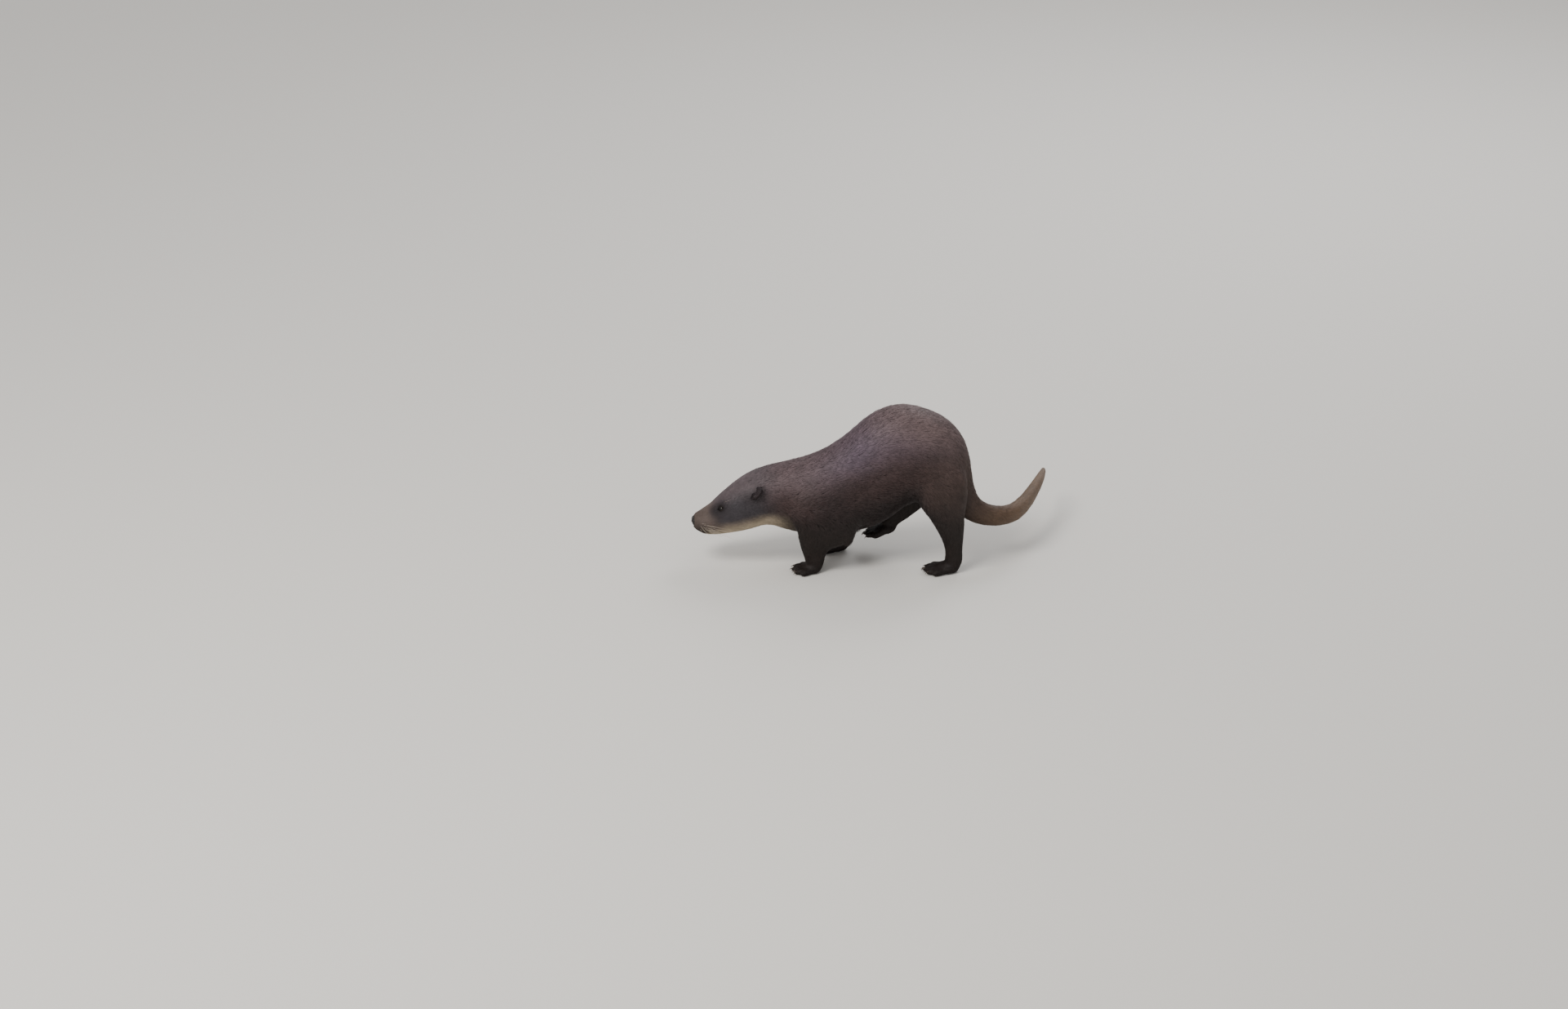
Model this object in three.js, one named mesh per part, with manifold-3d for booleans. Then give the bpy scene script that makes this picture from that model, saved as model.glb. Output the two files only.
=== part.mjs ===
// A Eurasian otter, life-size, walking with its back arched and its head low.
// Millimetres, +Z up, nose towards -X, the animal's left side towards -Y.
// The origin is under the middle of the whole animal, on the floor.
import * as THREE from 'three';
import { mergeVertices } from 'three/addons/utils/BufferGeometryUtils.js';
import Module from 'manifold-3d';

const wasm = await Module();
wasm.setup();

// ---- Driving dimensions -------------------------------------------------------

const GAP = 0.3; // clearance between neighbouring pieces
const BODY_STEPS = 50; // rings from the nose to the tail tip
const BODY_SIDES = 18; // corners of each of those rings
const LIMB_STEPS = 11;
const LIMB_SIDES = 12;
const LIMB_SQUARE = 2.3; // 2 is an ellipse, more is squarer
const LIMB_MARGIN = 1; // flesh round a limb that parts from the trunk with it
const CRUMB = 50; // cubic millimetres
const TOE_SIDES = 6;

const STANCE = 45; // from the midline to the middle of each foot
const LEFT = -1;
const RIGHT = 1;

const EYE = { x: -260, y: 24.1, z: 97.4, radius: 5.5 };
const EAR = { x: -201, y: 40.5, z: 130, thick: 4.2, wide: 10.5, tall: 13 };
const EAR_TURNS = { out: 28, tip: -38, back: 18 }; // degrees about z, x and y
const EAR_HOLLOW = { thick: 0.8, wide: 0.72, forward: 0.95, up: 1.5 };
const NOSE = { x: -299.5, z: 67.5, deep: 7, wide: 10.5, tall: 8.5, tilt: -14 };
const MOUTH = { corner: -257, height: 58, slope: 0.06 }; // the closed mouth's line
const JAW_BLOCK = { long: 80, wide: 120, deep: 60 }; // takes in all under that line

// Outline of the head, neck and trunk: for each station the point on the back
// (x, z), the point on the belly (x, z), the half width, how high the widest
// level lies between belly and back, and how square the section is.
const TRUNK = [
  { back: [-303, 69], belly: [-302, 60], half: 9, level: 0.5, square: 2.3 },
  { back: [-300, 76], belly: [-298, 54], half: 17, level: 0.45, square: 2.4 },
  { back: [-292, 83], belly: [-288, 50.5], half: 23.5, level: 0.42, square: 2.5 },
  { back: [-279, 93], belly: [-272, 48.5], half: 27, level: 0.4, square: 2.5 },
  { back: [-260, 111], belly: [-250, 50.5], half: 31.5, level: 0.44, square: 2.5 },
  { back: [-238, 130], belly: [-227, 56], half: 41.5, level: 0.47, square: 2.45 },
  { back: [-214, 147], belly: [-204, 62], half: 45.5, level: 0.48, square: 2.35 },
  { back: [-188, 159], belly: [-182, 66], half: 44, level: 0.48, square: 2.2 },
  { back: [-162, 165], belly: [-160, 57.5], half: 48, level: 0.48, square: 2.2 },
  { back: [-136, 171], belly: [-134, 52.5], half: 53, level: 0.48, square: 2.2 },
  { back: [-110, 180], belly: [-102, 52], half: 57, level: 0.48, square: 2.2 },
  { back: [-85, 194], belly: [-69, 53], half: 58, level: 0.48, square: 2.2 },
  { back: [-59, 214], belly: [-38, 56], half: 59, level: 0.48, square: 2.2 },
  { back: [-31, 241], belly: [-9, 66.5], half: 61, level: 0.48, square: 2.2 },
  { back: [-3, 256], belly: [16, 85], half: 63, level: 0.49, square: 2.2 },
  { back: [27, 261], belly: [35, 101], half: 64, level: 0.5, square: 2.2 },
  { back: [58, 254], belly: [50, 105], half: 63, level: 0.5, square: 2.2 },
  { back: [91, 239], belly: [60, 109], half: 59, level: 0.5, square: 2.15 },
  { back: [117, 213], belly: [70, 113], half: 51, level: 0.5, square: 2.1 },
  { back: [130, 179], belly: [78, 116], half: 40, level: 0.5, square: 2.05 },
];

// The tail: middle of each section, its radius, and how far its upper side
// leans from straight up towards the rear, in degrees.
const TAIL = [
  { middle: [109, 0, 133], radius: 28, lean: 72 },
  { middle: [118, 0, 110], radius: 24, lean: 66 },
  { middle: [131, 0, 92], radius: 20.5, lean: 45 },
  { middle: [150, 0, 80], radius: 18, lean: 24 },
  { middle: [174, 2, 75], radius: 16.2, lean: 10 },
  { middle: [198, 20, 72], radius: 14.6, lean: 2 },
  { middle: [219, 60, 71], radius: 12.6, lean: 0 },
  { middle: [235, 104, 73], radius: 10.4, lean: 0 },
  { middle: [248, 146, 75], radius: 8.2, lean: 0 },
  { middle: [257, 190, 71], radius: 5.8, lean: 0 },
  { middle: [263, 235, 62], radius: 3, lean: 0 },
];

// Legs, from the root inside the trunk down to the wrist or ankle: the middle of
// each section with y outwards from the midline, half its length fore and aft,
// and half its width. "flank" is the oval (x, z) where the leg's muscle parts from
// the trunk, "cuts" are the levels of the elbow or knee and of the wrist or ankle,
// and "foot" places the foot on the floor or above it.
const LEGS = {
  fore_left: {
    side: LEFT,
    joints: [
      { at: [-104, 36, 146], fore: 26, out: 14 },
      { at: [-101, 43, 124], fore: 44, out: 21 },
      { at: [-97, 45.5, 101], fore: 54, out: 21.5 },
      { at: [-98, 46.5, 78], fore: 56, out: 18.5 },
      { at: [-108.5, 46.5, 56], fore: 33, out: 15.5 },
      { at: [-112.5, 46, 36], fore: 20.5, out: 12.8 },
      { at: [-111.5, 45.5, 18], fore: 14.5, out: 12.5 },
      { at: [-113, 45.5, 7], fore: 11, out: 12.5 },
    ],
    flank: { at: [-97, 109], radii: [61, 51], inner: 20 },
    cuts: [73, 21],
    foot: { kind: 'paw', at: [-108, STANCE, 0], heading: 4, pitch: 0 },
  },
  fore_right: {
    side: RIGHT,
    joints: [
      { at: [-100, 36, 146], fore: 26, out: 14 },
      { at: [-88, 43, 124], fore: 39, out: 21 },
      { at: [-74, 45.5, 101], fore: 42, out: 21.5 },
      { at: [-66, 46.5, 78], fore: 38, out: 18.5 },
      { at: [-63, 45.5, 54], fore: 27, out: 14.5 },
      { at: [-63, 44, 34], fore: 18.5, out: 12.5 },
      { at: [-67, 43, 16], fore: 13.5, out: 12.5 },
      { at: [-73, 43, 7], fore: 11, out: 12.5 },
    ],
    flank: { at: [-80, 109], radii: [54, 51], inner: 20 },
    cuts: [73, 21],
    foot: { kind: 'paw', at: [-70, 42.5, 0], heading: 4, pitch: 0 },
  },
  hind_left: {
    side: LEFT,
    joints: [
      { at: [82, 36, 179], fore: 26, out: 15 },
      { at: [83, 42, 154], fore: 44, out: 23 },
      { at: [88, 47, 124], fore: 41, out: 24 },
      { at: [96, 49.5, 94], fore: 28, out: 19 },
      { at: [102, 47.5, 68], fore: 19.5, out: 14.5 },
      { at: [105, 46.5, 46], fore: 15, out: 12.5 },
      { at: [106, 45.5, 27], fore: 13.5, out: 12.5 },
      { at: [104, 45, 13], fore: 13.5, out: 13 },
      { at: [98, 45, 6], fore: 11, out: 13 },
    ],
    flank: { at: [84, 143], radii: [51, 49], inner: 18 },
    cuts: [86, 27],
    foot: { kind: 'sole', at: [103, STANCE, 0], heading: 5, pitch: 0 },
  },
  hind_right: {
    side: RIGHT,
    joints: [
      { at: [74, 36, 180], fore: 26, out: 15 },
      { at: [67, 42, 156], fore: 45, out: 23 },
      { at: [53, 46, 128], fore: 45, out: 24 },
      { at: [38, 46, 103], fore: 38, out: 20 },
      { at: [27, 43, 81], fore: 29, out: 15 },
      { at: [18.5, 40, 67.5], fore: 20, out: 12.5 },
      { at: [10.5, 38, 56], fore: 13.5, out: 12 },
      { at: [2.5, 37, 47], fore: 11.5, out: 12 },
    ],
    flank: { at: [62, 143], radii: [59, 51], inner: 18 },
    cuts: [101, 60],
    foot: { kind: 'sole', at: [11.5, 37, 35], heading: 3, pitch: -14 },
  },
};

// Feet, with the toes towards -x from the wrist or ankle: length of the longest
// toe from there, the pad behind the toes, and the spread between toes.
const FEET = {
  paw: { reach: 40, pad: [17, 17, 9], padAt: [-9, 7], toe: 5.4, spread: 19 },
  sole: { reach: 45, pad: [19, 18, 9.5], padAt: [-9, 7.5], toe: 5.8, spread: 16 },
};
const TOE_SHARES = [0.82, 0.96, 1, 0.96, 0.84]; // lengths, from the inner toe out
const TOE_ROOT = { forward: 8, apart: 2.6, height: 1.25 }; // height in toe radii
const TOE_TIP_HEIGHT = 0.82; // in toe radii
const TOE_PROFILE = [
  [0, 0.85],
  [0.82, 1],
  [1, 0.5],
]; // share of the toe's length, share of its radius
const WEB = { share: 0.8, hollow: 0.69, thick: 4.5, under: -0.6 };
// The web's edge runs from "share" of a toe in to "hollow" between two toes.

// Blocks that cut reach well past what they cut.
const FLANK_DEPTH = 80;
const FLOOR_BLOCK = [1200, 600, 60];
const LEG_SLAB = [400, 300];
const BODY_SLAB_REACH = { share: 1.35, more: 6 };

// Cuts through the head, trunk and tail: a station counted along the outline
// from the nose, where a piece ends.
const BODY_CUTS = [
  { after: 'head', station: 6.6 },
  { after: 'neck', station: 8.9 },
  { after: 'chest', station: 12.2 },
  { after: 'abdomen', station: 15.6 },
  { after: 'rump', station: 20.7 },
  { after: 'tail_root', station: 23.6 },
  { after: 'tail_middle', station: 26.4 },
];
const BODY_PIECES = [...BODY_CUTS.map((cut) => cut.after), 'tail_tip'];

// ---- Materials ----------------------------------------------------------------

const fur = (name, color) =>
  new THREE.MeshStandardMaterial({ name, color, roughness: 0.62, metalness: 0 });
const coatBack = fur('back_coat', 0x584e52);
const coatHead = fur('head_coat', 0x66605c);
const coatThroat = fur('throat_coat', 0xbcae98);
const coatLeg = fur('leg_coat', 0x33261f);
const eyeGloss = new THREE.MeshStandardMaterial({
  name: 'eye',
  color: 0x0b0806,
  roughness: 0.08,
  metalness: 0,
});
const noseSkin = new THREE.MeshStandardMaterial({
  name: 'nose_skin',
  color: 0x15110f,
  roughness: 0.42,
  metalness: 0,
});

// ---- Solids from meshes -------------------------------------------------------

// A closed body from a geometry whose shared corners are merged.
function solidOf(geometry) {
  const bare = geometry.clone();
  bare.deleteAttribute('normal');
  bare.deleteAttribute('uv');
  const merged = mergeVertices(bare, 1e-4);
  return new wasm.Manifold(
    new wasm.Mesh({
      numProp: 3,
      vertProperties: new Float32Array(merged.attributes.position.array),
      triVerts: new Uint32Array(merged.index.array),
    })
  );
}

function geometryOf(solid) {
  const mesh = solid.getMesh();
  const geometry = new THREE.BufferGeometry();
  const corners = new THREE.BufferAttribute(new Float32Array(mesh.vertProperties), 3);
  geometry.setAttribute('position', corners);
  geometry.setIndex(new THREE.BufferAttribute(new Uint32Array(mesh.triVerts), 1));
  return geometry;
}

// A skin drawn over a row of rings, each a list of points, closed at both ends.
function loft(rings) {
  const sides = rings[0].length;
  const corners = rings.flat();
  const faces = [];
  for (let row = 0; row + 1 < rings.length; row += 1) {
    for (let side = 0; side < sides; side += 1) {
      const next = (side + 1) % sides;
      const [a, b] = [row * sides + side, row * sides + next];
      const [c, d] = [a + sides, b + sides];
      faces.push(a, b, d, a, d, c);
    }
  }
  const ends = [
    [0, 1],
    [rings.length - 1, -1],
  ];
  for (const [row, turn] of ends) {
    const middle = new THREE.Vector3();
    rings[row].forEach((corner) => middle.addScaledVector(corner, 1 / sides));
    corners.push(middle);
    for (let side = 0; side < sides; side += 1) {
      const [a, b] = [row * sides + side, row * sides + ((side + 1) % sides)];
      faces.push(...(turn > 0 ? [corners.length - 1, b, a] : [corners.length - 1, a, b]));
    }
  }
  const geometry = new THREE.BufferGeometry().setFromPoints(corners);
  geometry.setIndex(faces);
  return geometry;
}

const spline = (points) => new THREE.CatmullRomCurve3(points, false, 'centripetal');
const signedPower = (value, power) => Math.sign(value) * Math.abs(value) ** power;

// One ring of corners round a middle: a squarish oval of its own height above
// and below the middle.
function ring(middle, up, side, sizes, sides) {
  const power = 2 / sizes.square;
  return Array.from({ length: sides }, (_, index) => {
    const angle = (2 * Math.PI * index) / sides;
    const across = sizes.half * signedPower(Math.cos(angle), power);
    const height = Math.sin(angle) > 0 ? sizes.above : sizes.below;
    const along = height * signedPower(Math.sin(angle), power);
    return middle.clone().addScaledVector(side, across).addScaledVector(up, along);
  });
}

// ---- Head, trunk and tail -----------------------------------------------------

const point = (x, y, z) => new THREE.Vector3(x, y, z);
const radians = THREE.MathUtils.degToRad;

function tailStation({ middle, radius, lean }) {
  const up = point(Math.sin(radians(lean)), 0, Math.cos(radians(lean)));
  return {
    back: point(...middle).addScaledVector(up, radius),
    belly: point(...middle).addScaledVector(up, -radius),
    half: radius,
    level: 0.5,
    square: 2,
  };
}

const STATIONS = [
  ...TRUNK.map((row) => ({
    ...row,
    back: point(row.back[0], 0, row.back[1]),
    belly: point(row.belly[0], 0, row.belly[1]),
  })),
  ...TAIL.map(tailStation),
];
const backLine = spline(STATIONS.map((row) => row.back));
const bellyLine = spline(STATIONS.map((row) => row.belly));
const shapeLine = spline(STATIONS.map((row) => point(row.half, row.level, row.square)));

// Middle, directions and sizes of the section at a share 0..1 of the stations.
function sectionAt(share) {
  const back = backLine.getPoint(share);
  const belly = bellyLine.getPoint(share);
  const shape = shapeLine.getPoint(share);
  const step = 0.002;
  const [from, to] = [Math.max(share - step, 0), Math.min(share + step, 1)];
  const tangent = backLine.getPoint(to).add(bellyLine.getPoint(to));
  tangent.sub(backLine.getPoint(from)).sub(bellyLine.getPoint(from)).normalize();
  const up = back.clone().sub(belly);
  const height = up.length();
  up.normalize();
  const side = up.clone().cross(tangent).normalize();
  const middle = belly.clone().addScaledVector(up, height * shape.y);
  const above = height * (1 - shape.y);
  return { middle, up, side, tangent, half: shape.x, above, below: height - above, square: shape.z };
}

function bodySolid(grow) {
  const rings = [];
  for (let row = 0; row <= BODY_STEPS; row += 1) {
    const cut = sectionAt(row / BODY_STEPS);
    const sizes = {
      half: cut.half + grow,
      above: cut.above + grow,
      below: cut.below + grow,
      square: cut.square,
    };
    rings.push(ring(cut.middle, cut.up, cut.side, sizes, BODY_SIDES));
  }
  return solidOf(loft(rings));
}

// A thin slab across the body at a station.
function bodyCut(station) {
  const cut = sectionAt(station / (STATIONS.length - 1));
  const widest = Math.max(cut.half, cut.above, cut.below);
  const reach = BODY_SLAB_REACH.share * widest + BODY_SLAB_REACH.more;
  const slab = new THREE.BoxGeometry(2 * reach, 2 * reach, GAP);
  const across = cut.side.clone();
  const normal = across.clone().cross(cut.up).normalize();
  slab.applyMatrix4(new THREE.Matrix4().makeBasis(across, cut.up, normal));
  slab.translate(cut.middle.x, cut.middle.y, cut.middle.z);
  return solidOf(slab);
}

// ---- Legs ---------------------------------------------------------------------

function limbSolid(joints, side, grow) {
  const line = spline(joints.map(({ at }) => point(at[0], side * at[1], at[2])));
  const girth = spline(joints.map(({ fore, out }) => point(fore, out, 0)));
  const rings = [];
  for (let row = 0; row <= LIMB_STEPS; row += 1) {
    const share = row / LIMB_STEPS;
    const tangent = line.getTangent(share);
    const across = point(0, 1, 0).addScaledVector(tangent, -tangent.y).normalize();
    const front = tangent.clone().cross(across).normalize();
    const size = girth.getPoint(share);
    const [half, long] = [size.y + grow, size.x + grow];
    const sizes = { half, above: long, below: long, square: LIMB_SQUARE };
    rings.push(ring(line.getPoint(share), front, across, sizes, LIMB_SIDES));
  }
  return solidOf(loft(rings));
}

// A round-ended finger from one point to another, thickest at its start.
function toeSolid(from, to, radius) {
  const tangent = to.clone().sub(from).normalize();
  const across = point(-tangent.y, tangent.x, 0).normalize();
  const up = tangent.clone().cross(across);
  const rings = TOE_PROFILE.map(([along, thick]) => {
    const size = radius * thick;
    const sizes = { half: size, above: size, below: size, square: LIMB_SQUARE };
    return ring(from.clone().lerp(to, along), up, across, sizes, TOE_SIDES);
  });
  return solidOf(loft(rings));
}

// Where each toe starts and ends, before the foot is turned and placed.
function toeLines(foot, side) {
  return TOE_SHARES.map((share, index) => {
    const inwards = index - (TOE_SHARES.length - 1) / 2;
    const turn = radians(foot.spread * inwards * side);
    const [forward, outward] = [-Math.cos(turn), Math.sin(turn)];
    const reach = foot.reach * share;
    const tip = point(reach * forward, reach * outward, foot.toe * TOE_TIP_HEIGHT);
    const near = TOE_ROOT.forward;
    const root = point(near * forward, near * outward, foot.toe * TOE_ROOT.height);
    root.y += TOE_ROOT.apart * inwards * side;
    return { root, tip };
  });
}

// The thin web between neighbouring toes, as one plate under them.
function webSolid(lines) {
  const outline = new THREE.Shape();
  outline.moveTo(lines[0].root.x, lines[0].root.y);
  const along = ({ root, tip }, share) => root.clone().lerp(tip, share);
  lines.forEach((line, index) => {
    const edge = along(line, WEB.share);
    outline.lineTo(edge.x, edge.y);
    if (index + 1 < lines.length) {
      const hollow = along(line, WEB.hollow);
      hollow.add(along(lines[index + 1], WEB.hollow)).multiplyScalar(0.5);
      outline.lineTo(hollow.x, hollow.y);
    }
  });
  outline.lineTo(lines.at(-1).root.x, lines.at(-1).root.y);
  const plate = new THREE.ExtrudeGeometry(outline, { depth: WEB.thick, bevelEnabled: false });
  plate.translate(0, 0, WEB.under);
  return solidOf(plate);
}

function footSolid({ kind, at, heading, pitch }, side) {
  const foot = FEET[kind];
  const lines = toeLines(foot, side);
  const pad = new THREE.SphereGeometry(1, 8, 5);
  pad.scale(...foot.pad);
  pad.translate(foot.padAt[0], 0, foot.padAt[1]);
  let solid = solidOf(pad).add(webSolid(lines));
  for (const { root, tip } of lines) {
    solid = solid.add(toeSolid(root, tip, foot.toe));
  }
  const place = new THREE.Matrix4().makeRotationZ(radians(heading * side * -1));
  place.premultiply(new THREE.Matrix4().makeRotationY(radians(pitch)));
  place.premultiply(new THREE.Matrix4().makeTranslation(at[0], side * at[1], at[2]));
  return solidOf(geometryOf(solid).applyMatrix4(place));
}

// What belongs to a leg: an oval of the flank, to a depth, and the limb itself.
function legRegion(leg, grow) {
  const { at, radii, inner } = leg.flank;
  const oval = new THREE.Shape();
  oval.absellipse(at[0], at[1], radii[0] + grow, radii[1] + grow, 0, 2 * Math.PI);
  const options = { depth: FLANK_DEPTH + grow, bevelEnabled: false, curveSegments: 9 };
  const block = new THREE.ExtrudeGeometry(oval, options);
  block.rotateX(Math.PI / 2);
  block.translate(0, leg.side === LEFT ? grow - inner : inner + FLANK_DEPTH, 0);
  return solidOf(block).add(limbSolid(leg.joints, leg.side, LIMB_MARGIN + grow));
}

// A whole leg with its foot, down to the floor.
function legSolid(leg, flesh) {
  const floor = new THREE.BoxGeometry(...FLOOR_BLOCK);
  floor.translate(0, 0, -FLOOR_BLOCK[2] / 2);
  const limb = flesh.intersect(legRegion(leg, 0));
  return limb.add(footSolid(leg.foot, leg.side)).subtract(solidOf(floor));
}

// The leg's three lengths, parted by level cuts at the elbow or knee and above
// the foot.
function legPieces(name, leg, flesh) {
  let solid = legSolid(leg, flesh);
  for (const height of leg.cuts) {
    const slab = new THREE.BoxGeometry(...LEG_SLAB, GAP);
    slab.translate(0, 0, height);
    solid = solid.subtract(solidOf(slab));
  }
  const pieces = lumpsOf(solid).sort((a, b) => middleOf(b).z - middleOf(a).z);
  const [front, side] = name.split('_');
  const lower = front === 'fore' ? 'forearm' : 'shank';
  const upper = front === 'fore' ? 'upper_arm' : 'thigh';
  return [
    [`${upper}_${side}`, pieces[0]],
    [`${lower}_${side}`, pieces[1]],
    [`${front}foot_${side}`, pieces[2]],
  ];
}

// The separate bodies of a solid, without crumbs left by a cut.
function lumpsOf(solid) {
  return solid.decompose().filter((lump) => lump.volume() > CRUMB);
}

function middleOf(solid) {
  const { min, max } = solid.boundingBox();
  return point((min[0] + max[0]) / 2, (min[1] + max[1]) / 2, (min[2] + max[2]) / 2);
}

// ---- Eyes, ears and nose ------------------------------------------------------

function eyeSolid(side, grow) {
  const ball = new THREE.SphereGeometry(EYE.radius + grow, 10, 6);
  ball.translate(EYE.x, side * EYE.y, EYE.z);
  return solidOf(ball);
}

// A small rounded ear, hollow on the side that faces forwards.
function earSolid(side) {
  const shell = new THREE.SphereGeometry(1, 10, 6);
  shell.scale(EAR.thick, EAR.wide, EAR.tall);
  const hollow = new THREE.SphereGeometry(1, 8, 5);
  const { thick, wide, forward, up } = EAR_HOLLOW;
  hollow.scale(EAR.thick * thick, EAR.wide * wide, EAR.tall * wide);
  hollow.translate(-EAR.thick * forward, 0, up);
  const ear = geometryOf(solidOf(shell).subtract(solidOf(hollow)));
  ear.rotateZ(radians(side * EAR_TURNS.out));
  ear.rotateX(radians(side * EAR_TURNS.tip));
  ear.rotateY(radians(EAR_TURNS.back));
  ear.translate(EAR.x, side * EAR.y, EAR.z);
  return solidOf(ear);
}

function noseSolid(grow) {
  const pad = new THREE.SphereGeometry(1, 10, 6);
  pad.scale(NOSE.deep + grow, NOSE.wide + grow, NOSE.tall + grow);
  pad.rotateY(radians(NOSE.tilt));
  pad.translate(NOSE.x, 0, NOSE.z);
  return solidOf(pad);
}

// The lower jaw's share of the head: all that lies under the mouth's line and in
// front of its corner.
function jawRegion(grow) {
  const { long, wide, deep } = JAW_BLOCK;
  const block = new THREE.BoxGeometry(long + grow, wide, deep + grow);
  block.translate((grow - long) / 2, 0, (grow - deep) / 2);
  block.rotateY(Math.atan(MOUTH.slope));
  block.translate(MOUTH.corner, 0, MOUTH.height);
  return solidOf(block);
}

// ---- The animal ---------------------------------------------------------------

function bodyPieces(flesh) {
  let body = flesh;
  for (const cut of BODY_CUTS) {
    body = body.subtract(bodyCut(cut.station));
  }
  for (const leg of Object.values(LEGS)) {
    body = body.subtract(legRegion(leg, GAP));
  }
  const order = (solid) => nearestShare(middleOf(solid));
  const pieces = lumpsOf(body);
  pieces.sort((a, b) => order(a) - order(b));
  return pieces.map((solid, index) => [BODY_PIECES[index], solid]);
}

// The share of the way from nose to tail tip that lies nearest to a place.
function nearestShare(place) {
  const steps = 200;
  const shares = Array.from({ length: steps + 1 }, (_, index) => index / steps);
  const gap = (share) => sectionAt(share).middle.distanceTo(place);
  return shares.reduce((best, share) => (gap(share) < gap(best) ? share : best));
}

function headPieces(head) {
  let skull = head;
  const pieces = [['nose', noseSolid(0)]];
  skull = skull.subtract(noseSolid(GAP));
  for (const [name, side] of [['left', LEFT], ['right', RIGHT]]) {
    pieces.push([`eye_${name}`, eyeSolid(side, 0)]);
    skull = skull.subtract(eyeSolid(side, GAP));
    pieces.push([`ear_${name}`, earSolid(side).subtract(bodySolid(GAP))]);
  }
  pieces.push(['lower_jaw', skull.intersect(jawRegion(0))]);
  pieces.push(['head', skull.subtract(jawRegion(GAP))]);
  return pieces;
}

function materialOf(name) {
  if (name.startsWith('eye')) return eyeGloss;
  if (name === 'nose') return noseSkin;
  if (name === 'lower_jaw') return coatThroat;
  if (name === 'head' || name.startsWith('ear')) return coatHead;
  if (/foot|shank|forearm/.test(name)) return coatLeg;
  return coatBack;
}

// A mesh whose own origin is the middle of its piece.
function meshOf(name, solid) {
  const mesh = new THREE.Mesh(geometryOf(solid), materialOf(name));
  const middle = middleOf(solid);
  mesh.name = name;
  mesh.geometry.translate(-middle.x, -middle.y, -middle.z);
  mesh.position.copy(middle);
  return mesh;
}

function otter() {
  const limbs = Object.values(LEGS).map((leg) => limbSolid(leg.joints, leg.side, 0));
  const flesh = limbs.reduce((whole, limb) => whole.add(limb), bodySolid(0));
  const [head, ...trunk] = bodyPieces(flesh);
  const legs = Object.entries(LEGS).flatMap(([name, leg]) => legPieces(name, leg, flesh));
  const group = new THREE.Group();
  for (const [name, solid] of [...headPieces(head[1]), ...trunk, ...legs]) {
    group.add(meshOf(name, solid));
  }
  const box = new THREE.Box3().setFromObject(group);
  const middle = box.getCenter(new THREE.Vector3());
  group.position.set(-middle.x, -middle.y, -box.min.z);
  return group;
}

export default otter();
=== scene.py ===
"""A life-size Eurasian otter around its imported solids: one skin, a coat of tufts,
eyes, nose, claws and whiskers.

Metres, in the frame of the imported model: nose towards -X, the animal's left side
towards -Y, +Z up. MM turns millimetres into metres.
"""
import math

import bmesh
import bpy
import numpy as np
from mathutils import Matrix, Vector
from mathutils.bvhtree import BVHTree
from mathutils.kdtree import KDTree


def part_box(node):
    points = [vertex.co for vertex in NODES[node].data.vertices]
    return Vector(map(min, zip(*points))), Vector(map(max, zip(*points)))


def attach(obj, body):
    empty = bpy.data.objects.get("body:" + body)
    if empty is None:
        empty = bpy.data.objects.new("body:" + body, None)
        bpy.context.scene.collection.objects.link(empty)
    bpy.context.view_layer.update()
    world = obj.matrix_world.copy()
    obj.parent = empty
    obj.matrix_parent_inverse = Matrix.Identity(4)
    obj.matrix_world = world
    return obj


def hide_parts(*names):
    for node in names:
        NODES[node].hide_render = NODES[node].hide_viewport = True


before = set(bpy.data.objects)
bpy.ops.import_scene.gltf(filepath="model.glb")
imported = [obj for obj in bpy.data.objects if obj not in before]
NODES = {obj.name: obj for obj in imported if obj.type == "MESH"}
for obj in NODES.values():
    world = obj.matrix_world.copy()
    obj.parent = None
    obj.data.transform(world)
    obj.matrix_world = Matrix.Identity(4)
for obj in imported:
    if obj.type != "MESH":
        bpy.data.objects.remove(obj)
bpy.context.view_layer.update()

MM = 0.001
SIDES = ("left", "right")

# ---- Driving values

VOXEL = 1.5 * MM  # fineness of the skin before it is thinned
SEAM = 0.5 * MM  # how far each solid is swollen, so that the thin cuts close
SKIN_TRIANGLES = 146_000

TRUNK_NODES = (
    "head", "neck", "chest", "abdomen", "rump", "tail_root", "tail_middle", "tail_tip",
)
LEG_NODES = {
    f"{end}_{side}": (f"{upper}_{side}", f"{lower}_{side}", f"{end}foot_{side}")
    for end, upper, lower in (("fore", "upper_arm", "forearm"), ("hind", "thigh", "shank"))
    for side in SIDES
}
EAR_NODES = ("ear_left", "ear_right")
FLESH = (
    TRUNK_NODES + ("lower_jaw",) + EAR_NODES
    + tuple(name for names in LEG_NODES.values() for name in names)
)


# ---- Small helpers

def unit(rows):
    """Each row at length 1."""
    return rows / np.maximum(np.linalg.norm(rows, axis=-1, keepdims=True), 1e-12)


def dot(a, b):
    return (a * b).sum(-1, keepdims=True)


def flattened(ways, normals):
    """The ways without their share along the normals."""
    return ways - dot(ways, normals) * normals


def away(places, spot):
    """Distance of each place from a spot."""
    return np.linalg.norm(places - spot, axis=1)


def off_axis(off, axis):
    """Distance of each offset from the line along an axis of length 1."""
    return np.linalg.norm(off - np.outer(off @ axis, axis), axis=1)


def smooth_step(value, low, high):
    share = np.clip((value - low) / (high - low), 0, 1)
    return share * share * (3 - 2 * share)


def bell(distance, width):
    """1 at no distance, falling softly to nothing past about twice the width."""
    return np.exp(-((distance / width) ** 2))


def tree_of(places):
    """A tree of places, for finding the nearest one's number."""
    tree = KDTree(len(places))
    for index, place in enumerate(places.tolist()):
        tree.insert(place, index)
    tree.balance()
    return tree


def middle_of(node):
    low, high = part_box(node)
    return np.array((low + high) / 2)


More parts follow.
